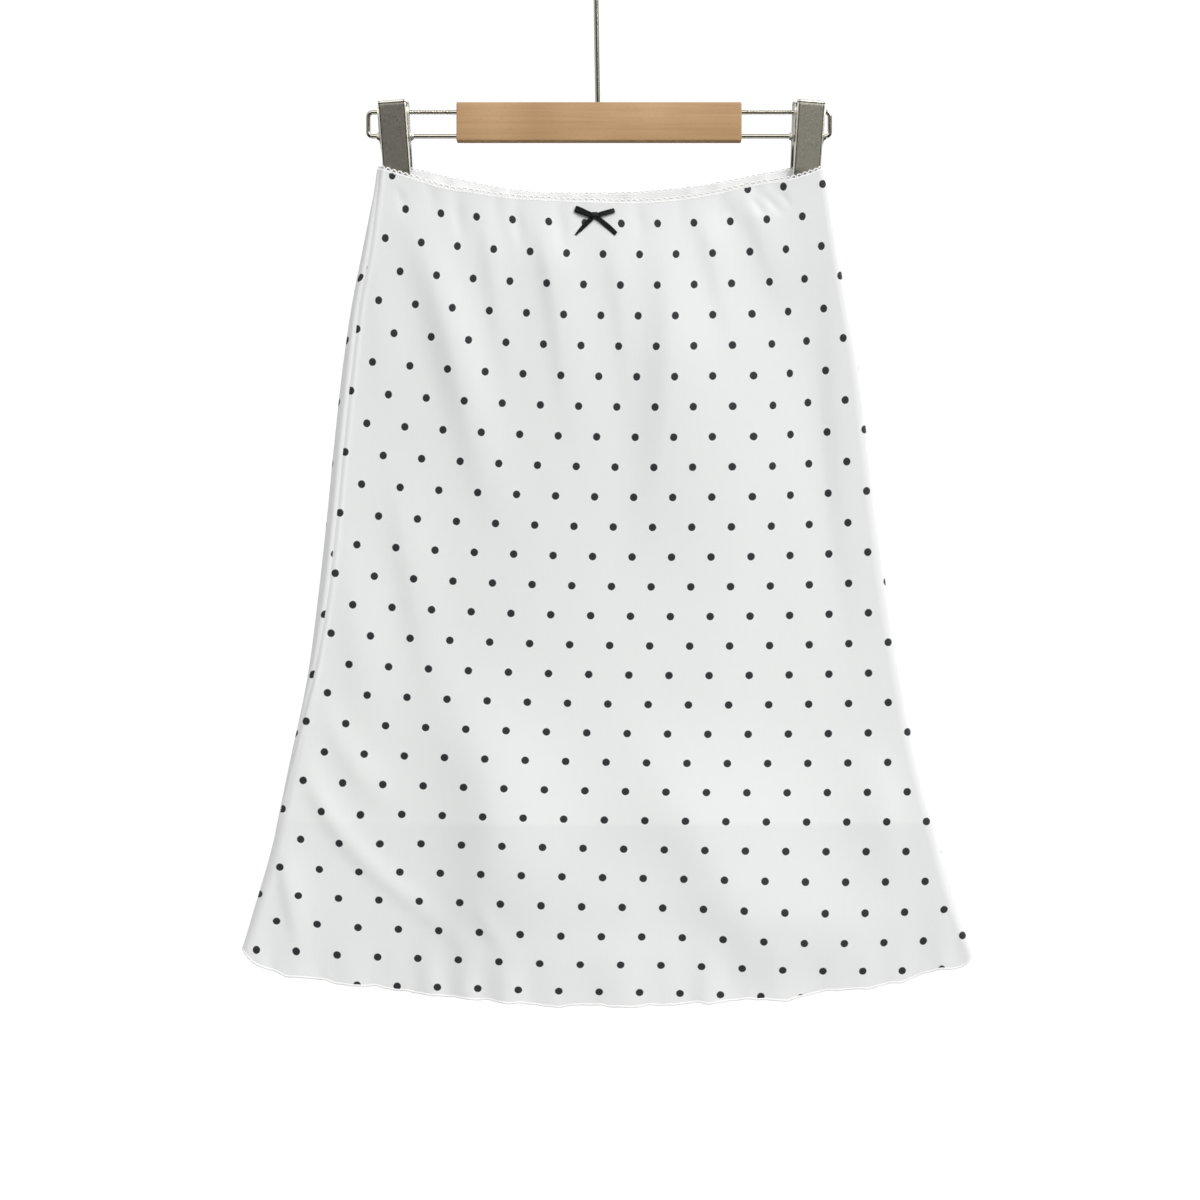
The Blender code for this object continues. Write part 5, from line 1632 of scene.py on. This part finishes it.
class SKIRT_OT_add_hook(bpy.types.Operator):
    """Adds the wire hook with its straight stem"""

    bl_idname = "skirt.add_hook"
    bl_label = "Add hook"

    def execute(self, context):
        hanger = context.scene.skirt_hanger
        radius = hanger.hook_wire_diameter / 2 / MM
        lean = math.radians(STEM_LEAN)
        along = np.array([-math.sin(lean), 0.0, math.cos(lean)])
        top = np.array([STEM_FOOT_X, 0.0, BAR_CENTRE[2] + BAR_SIZE[2] / 2])
        crest = HOOK_INNER_RADIUS + radius
        start = math.radians(HOOK_ROUND_START)
        angles = np.linspace(start, math.radians(HOOK_TAIL_ANGLE), 64)
        curve = np.stack([np.cos(angles), 0 * angles, np.sin(angles)], axis=1) * crest
        curve[:, 2] -= HOOK_INNER_RADIUS
        straight = top + along * np.linspace(-(HOLE_DEPTH - 1), STEM_LENGTH, 12)[:, None]
        leave = np.array([-math.sin(start), 0.0, math.cos(start)])
        corners = [straight[-1], straight[-1] + along * HOOK_HANDLE, curve[0] - leave * HOOK_HANDLE, curve[0]]
        share = np.linspace(0, 1, 26)[1:-1, None]
        bend = (
            corners[0] * (1 - share) ** 3 + 3 * corners[1] * share * (1 - share) ** 2
            + 3 * corners[2] * share**2 * (1 - share) + corners[3] * share**3
        )
        path = np.concatenate([straight, bend, curve])
        tip_way = unit(path[-1] - path[-2])
        tip_angles = np.radians([20, 40, 60, 75, 86])
        path = np.concatenate([path, path[-1] + tip_way * radius * np.sin(tip_angles)[:, None]])
        radii = np.concatenate([np.full(len(path) - len(tip_angles), radius), radius * np.cos(tip_angles)])
        wire = shared(
            "nickel_plated_wire", nickel_plate, "nickel_plated_wire", hanger.wire_colour, *WIRE_FINISH
        )
        piece = tube_piece("hanger_hook", path, radii, (0.0, 1.0, 0.0), HOOK_SIDES, wire)
        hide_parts("hook")
        return {"FINISHED"}


def notched_radii(path, radius, side):
    """The wire's radius along its upper run: small teeth between the bar and the clip."""
    depth = np.zeros(len(path))
    bar_end = BAR_CENTRE[0] + side * BAR_SIZE[0] / 2
    clip_end = CLIPS["left" if side < 0 else "right"][0] - side * (FRONT_JAW_WIDTH / 2 + NOTCHES_FROM_CLIP)
    beyond = side * (path[:, 0] - bar_end)
    run = side * (clip_end - bar_end)
    inside = (beyond > NOTCHES_FROM_BAR) & (beyond < run) & (path[:, 2] > WIRE_UPPER_Z - 0.1)
    wave = np.clip(np.abs(np.mod(beyond / NOTCH_PITCH, 1.0) - 0.5) * 4 - 1, 0, 1)
    uneven = 0.65 + 0.35 * np.sin(2.1 * beyond) * np.cos(0.37 * beyond)
    depth[inside] = (NOTCH_DEPTH * wave * uneven)[inside]
    return radius - depth


class SKIRT_OT_add_wires(bpy.types.Operator):
    """Adds the two hairpin wires that carry the clips, toothed on their upper runs"""

    bl_idname = "skirt.add_wires"
    bl_label = "Add clip wires"

    def execute(self, context):
        hanger = context.scene.skirt_hanger
        radius = hanger.clip_wire_diameter / 2 / MM
        wire = shared(
            "nickel_plated_wire", nickel_plate, "nickel_plated_wire", hanger.wire_colour, *WIRE_FINISH
        )
        for side, word in ((-1, "left"), (1, "right")):
            root = BAR_CENTRE[0] + side * (BAR_SIZE[0] / 2 - HOLE_DEPTH + 1)
            corner = WIRE_ENDS[word] - side * WIRE_CORNER
            out = np.arange(root, corner, side * NOTCH_PITCH / 8)
            quarter = np.linspace(math.pi / 2, 0, 12)
            upper = np.stack([
                corner + side * WIRE_CORNER * np.cos(quarter), 0 * quarter,
                WIRE_UPPER_Z - WIRE_CORNER + WIRE_CORNER * np.sin(quarter),
            ], axis=1)
            lower = upper[::-1] * (1, 1, -1) + (0, 0, WIRE_UPPER_Z + WIRE_LOWER_Z)
            run = np.stack([out, 0 * out, np.full(len(out), WIRE_UPPER_Z)], axis=1)
            back = np.stack([out[::-8], 0 * out[::-8], np.full(len(out[::-8]), WIRE_LOWER_Z)], axis=1)
            path = np.concatenate([run, upper, lower, back])
            radii = notched_radii(path, radius, side)
            piece = tube_piece(f"clip_wire_{word}", path, radii, (0.0, 1.0, 0.0), WIRE_SIDES, wire)
            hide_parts(f"hanger_wire_{word}")
        return {"FINISHED"}


def build_jaw(name, facing, face, flange, width, place, material):
    """A pressed tray: rows down its face, each a U from one flange's edge round to the other's."""
    line = np.array(face)
    finer = np.linspace(0, len(line) - 1, 4 * len(line) - 3)
    line = np.stack([np.interp(finer, range(len(line)), line[:, part]) for part in (0, 1)], axis=1)
    along = unit(np.gradient(line, axis=0))
    outward = np.stack([-along[:, 1], along[:, 0]], axis=1)
    edge_height = [height for _, height in flange]
    edge_depth = [depth for depth, _ in flange]
    edge = np.minimum(np.interp(line[:, 1], edge_height, edge_depth), line[:, 0] - JAW_BEND - 0.1)
    quarter = np.linspace(0, math.pi / 2, 6)

    def section(inset):
        rows = line - outward * inset
        bend = JAW_BEND - inset
        half = width / 2 - inset
        start = rows[:, 0] - bend
        depths, places = [], []
        for share in (0.0, 0.35, 0.7):
            depth = edge + (start - edge) * share
            depths.append(depth)
            places.append(-half - (start - depth) * JAW_SPLAY)
        for turn in quarter:
            depths.append(start + bend * np.sin(turn))
            places.append(np.full(len(rows), -half + bend * (1 - np.cos(turn))))
        flat = half - bend
        for share in (-0.9, -0.6, -0.2):
            depths.append(rows[:, 0])
            places.append(np.full(len(rows), flat * share))
        depths += depths[::-1]
        places += [-beside for beside in places[::-1]]
        heights = np.broadcast_to(rows[:, 1:2], (len(rows), len(places)))
        return np.stack([np.stack(places, 1), facing * np.stack(depths, 1), heights], axis=-1)

    outer, inner = section(0.0), section(CLIP_PLATE)
    # The map runs across the plate from its middle, so its bends and flanges lie furthest out
    from_middle = np.abs(outer[..., 0]) + np.abs(line[:, :1] - np.abs(outer[..., 1])) - (width / 2 - JAW_BEND)
    # On the back jaw the painted highlight starts further out
    from_middle = from_middle - (BACK_JAW_HIGHLIGHT_INSET if facing > 0 else 0)
    pressed = np.stack([from_middle * MM, outer[..., 2] * MM], axis=-1)
    moved = np.array(place)
    grids = [grid * MM @ moved[:3, :3].T + moved[:3, 3] for grid in (outer, inner)]
    piece = shell(name, *grids, {"pressed": pressed}, [material])
    return piece


class SKIRT_OT_add_clips(bpy.types.Operator):
    """Adds the two clips: a front and a back jaw each, on a flared eyelet"""

    bl_idname = "skirt.add_clips"
    bl_label = "Add clips"

    def execute(self, context):
        hanger = context.scene.skirt_hanger
        steel = shared("nickel_plated_pressed_steel", pressed_nickel)
        bright = shared(
            "nickel_plated_eyelet", nickel_plate, "nickel_plated_eyelet", hanger.eyelet_and_highlight_colour, *EYELET_FINISH
        )
        for word, (x, lean, turn_out) in CLIPS.items():
            place = Matrix.Translation(Vector((x, 0, WIRE_LOWER_Z)) * MM)
            place = place @ Matrix.Rotation(-math.radians(lean), 4, "Y")
            place = place @ Matrix.Rotation(math.radians(turn_out), 4, "Z")
            for jaw, (facing, face, flange, width) in JAWS.items():
                piece = build_jaw(f"clip_{word}_{jaw}", facing, face, flange, width, place, steel)
                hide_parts(f"clip_{word}_{jaw}_jaw")
            profile = [(-along, radius) for along, radius in EYELET_PROFILE]
            profile += [(along, radius) for along, radius in reversed(EYELET_PROFILE)]
            points = []
            for along, radius in profile:
                for turn in np.linspace(0, 2 * math.pi, EYELET_SIDES, endpoint=False):
                    off = radius * math.cos(turn)
                    points.append((x + along, off, WIRE_LOWER_Z + radius * math.sin(turn)))
            faces = ring_faces(len(profile), EYELET_SIDES, looped=True)
            eyelet = finish_mesh(f"eyelet_{word}", np.array(points) * MM, faces, [bright])
            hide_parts(f"clip_{word}_eyelet")
        return {"FINISHED"}


class SKIRT_OT_add_stage(bpy.types.Operator):
    """Adds the pale floor, the soft lights, the white room and the camera"""

    bl_idname = "skirt.add_stage"
    bl_label = "Add studio"

    def execute(self, context):
        settings = context.scene.skirt_stage
        corners = ((-1, -1), (1, -1), (1, 1), (-1, 1))
        mesh = bpy.data.meshes.new("studio_floor")
        mesh.from_pydata([(x * FLOOR_HALF, y * FLOOR_HALF, FLOOR_Z) for x, y in corners], [], [(0, 1, 2, 3)])
        mesh.materials.append(shared("studio_paper", studio_paper))
        placed("studio_floor", mesh)
        lights = (
            ("key_light", "SUN", KEY_PLACE, settings.key_strength),
            ("top_light", "AREA", TOP_PLACE, settings.top_power),
            ("back_light", "SUN", BACK_PLACE, settings.back_strength),
        )
        for name, kind, place, energy in lights:
            data = bpy.data.lights.new(name, kind)
            data.energy = energy
            if kind == "SUN":
                data.angle = math.radians(SUN_ANGLE)
            else:
                data.shape = "SQUARE"
                data.size = TOP_SIZE
            lamp = placed(name, data)
            lamp.location = place
            lamp.rotation_euler = (Vector(LIGHT_AIM) - Vector(place)).to_track_quat("-Z", "Y").to_euler()
        world = bpy.data.worlds.new("white_room")
        world.use_nodes = True
        tree = world.node_tree
        tree.nodes.clear()
        # White walls beside and behind the skirt, brighter on the left, a dim room at the
        # camera's side and a dim floor
        direction = add_node(tree, "ShaderNodeTexCoord")
        parts = add_node(tree, "ShaderNodeSeparateXYZ", {0: direction.outputs["Generated"]})
        beside = add_node(
            tree, "ShaderNodeMapRange",
            {"Value": parts.outputs["Y"], "From Min": -0.85, "From Max": -0.5, "To Min": 0.16, "To Max": 1.0},
            interpolation_type="SMOOTHSTEP",
        )
        overhead = add_node(
            tree, "ShaderNodeMapRange",
            {"Value": parts.outputs["Z"], "From Min": 0.2, "From Max": 0.6, "To Min": 0.0, "To Max": 0.9},
            interpolation_type="SMOOTHSTEP",
        )
        lit = add_node(
            tree, "ShaderNodeMath", {0: beside.outputs[0], 1: overhead.outputs[0]}, operation="MAXIMUM"
        )
        sideways = add_node(
            tree, "ShaderNodeMapRange",
            {"Value": parts.outputs["X"], "From Min": -0.8, "From Max": 0.8,
             "To Min": settings.surroundings * LEFT_WALL, "To Max": settings.surroundings * RIGHT_WALL},
        )
        below = add_node(
            tree, "ShaderNodeMapRange",
            {"Value": parts.outputs["Z"], "From Min": -0.45, "From Max": 0.05, "To Min": 0.06, "To Max": 1.0},
            interpolation_type="SMOOTHSTEP",
        )
        walls = add_node(
            tree, "ShaderNodeMath", {0: lit.outputs[0], 1: sideways.outputs[0]}, operation="MULTIPLY"
        )
        # The wall right behind lies in shade, so metal edges read against the white
        behind = add_node(
            tree, "ShaderNodeMapRange",
            {"Value": parts.outputs["Y"], "From Min": 0.7, "From Max": 0.97, "To Min": 1.0, "To Max": 0.25},
            interpolation_type="SMOOTHSTEP",
        )
        shaded = add_node(
            tree, "ShaderNodeMath", {0: walls.outputs[0], 1: behind.outputs[0]}, operation="MULTIPLY"
        )
        brightness = add_node(
            tree, "ShaderNodeMath", {0: shaded.outputs[0], 1: below.outputs[0]}, operation="MULTIPLY"
        )
        room = add_node(
            tree, "ShaderNodeBackground", {"Color": (1.0, 1.0, 1.0, 1.0), "Strength": brightness.outputs[0]}
        )
        white = add_node(
            tree, "ShaderNodeBackground", {"Color": (1.0, 1.0, 1.0, 1.0), "Strength": PICTURE_WHITE}
        )
        seen = add_node(tree, "ShaderNodeLightPath")
        both = add_node(
            tree, "ShaderNodeMixShader",
            {0: seen.outputs["Is Camera Ray"], 1: room.outputs[0], 2: white.outputs[0]},
        )
        add_node(tree, "ShaderNodeOutputWorld", {"Surface": both.outputs[0]})
        context.scene.world = world
        context.scene.view_settings.view_transform = "Standard"
        camera = placed("camera", bpy.data.cameras.new("camera"))
        camera.data.sensor_width = SENSOR_WIDTH
        camera.data.lens = SENSOR_WIDTH * CAMERA_DISTANCE / PICTURE_WIDTH
        camera.location = (0, -CAMERA_DISTANCE, CAMERA_HEIGHT)
        camera.rotation_euler = (math.radians(90), 0, 0)
        context.scene.camera = camera
        return {"FINISHED"}


STEPS = (
    SKIRT_OT_add_panels, SKIRT_OT_add_hem, SKIRT_OT_add_side_seams, SKIRT_OT_add_elastic, SKIRT_OT_add_picot,
    SKIRT_OT_add_stitching, SKIRT_OT_add_bow, SKIRT_OT_add_bar, SKIRT_OT_add_hook, SKIRT_OT_add_wires,
    SKIRT_OT_add_clips, SKIRT_OT_declare_sheets, SKIRT_OT_add_stage,
)


class SKIRT_PT_sidebar(bpy.types.Panel):
    """Settings and steps of the skirt, in the 3D view's sidebar"""

    bl_label = "Mermaid skirt"
    bl_idname = "SKIRT_PT_sidebar"
    bl_space_type = "VIEW_3D"
    bl_region_type = "UI"
    bl_category = "Skirt"

    def draw(self, context):
        for settings in (context.scene.skirt_cloth, context.scene.skirt_hanger, context.scene.skirt_stage):
            part = self.layout.box()
            for prop in settings.bl_rna.properties:
                if prop.identifier not in ("name", "rna_type"):
                    part.prop(settings, prop.identifier)
        steps = self.layout.column()
        for step in STEPS:
            steps.operator(step.bl_idname)


CLASSES = (SkirtClothSettings, SkirtHangerSettings, SkirtStageSettings, *STEPS, SKIRT_PT_sidebar)


def register():
    """Adds the settings, the steps and the panel."""
    for made in CLASSES:
        bpy.utils.register_class(made)
    bpy.types.Scene.skirt_cloth = PointerProperty(type=SkirtClothSettings)
    bpy.types.Scene.skirt_hanger = PointerProperty(type=SkirtHangerSettings)
    bpy.types.Scene.skirt_stage = PointerProperty(type=SkirtStageSettings)


def unregister():
    """Takes them away again."""
    del bpy.types.Scene.skirt_stage
    del bpy.types.Scene.skirt_hanger
    del bpy.types.Scene.skirt_cloth
    for made in reversed(CLASSES):
        bpy.utils.unregister_class(made)


def main():
    """Builds the skirt, its hanger and the studio."""
    register()
    for step in STEPS:
        group, operator = step.bl_idname.split(".")
        getattr(getattr(bpy.ops, group), operator)()


if __name__ == "__main__":
    main()
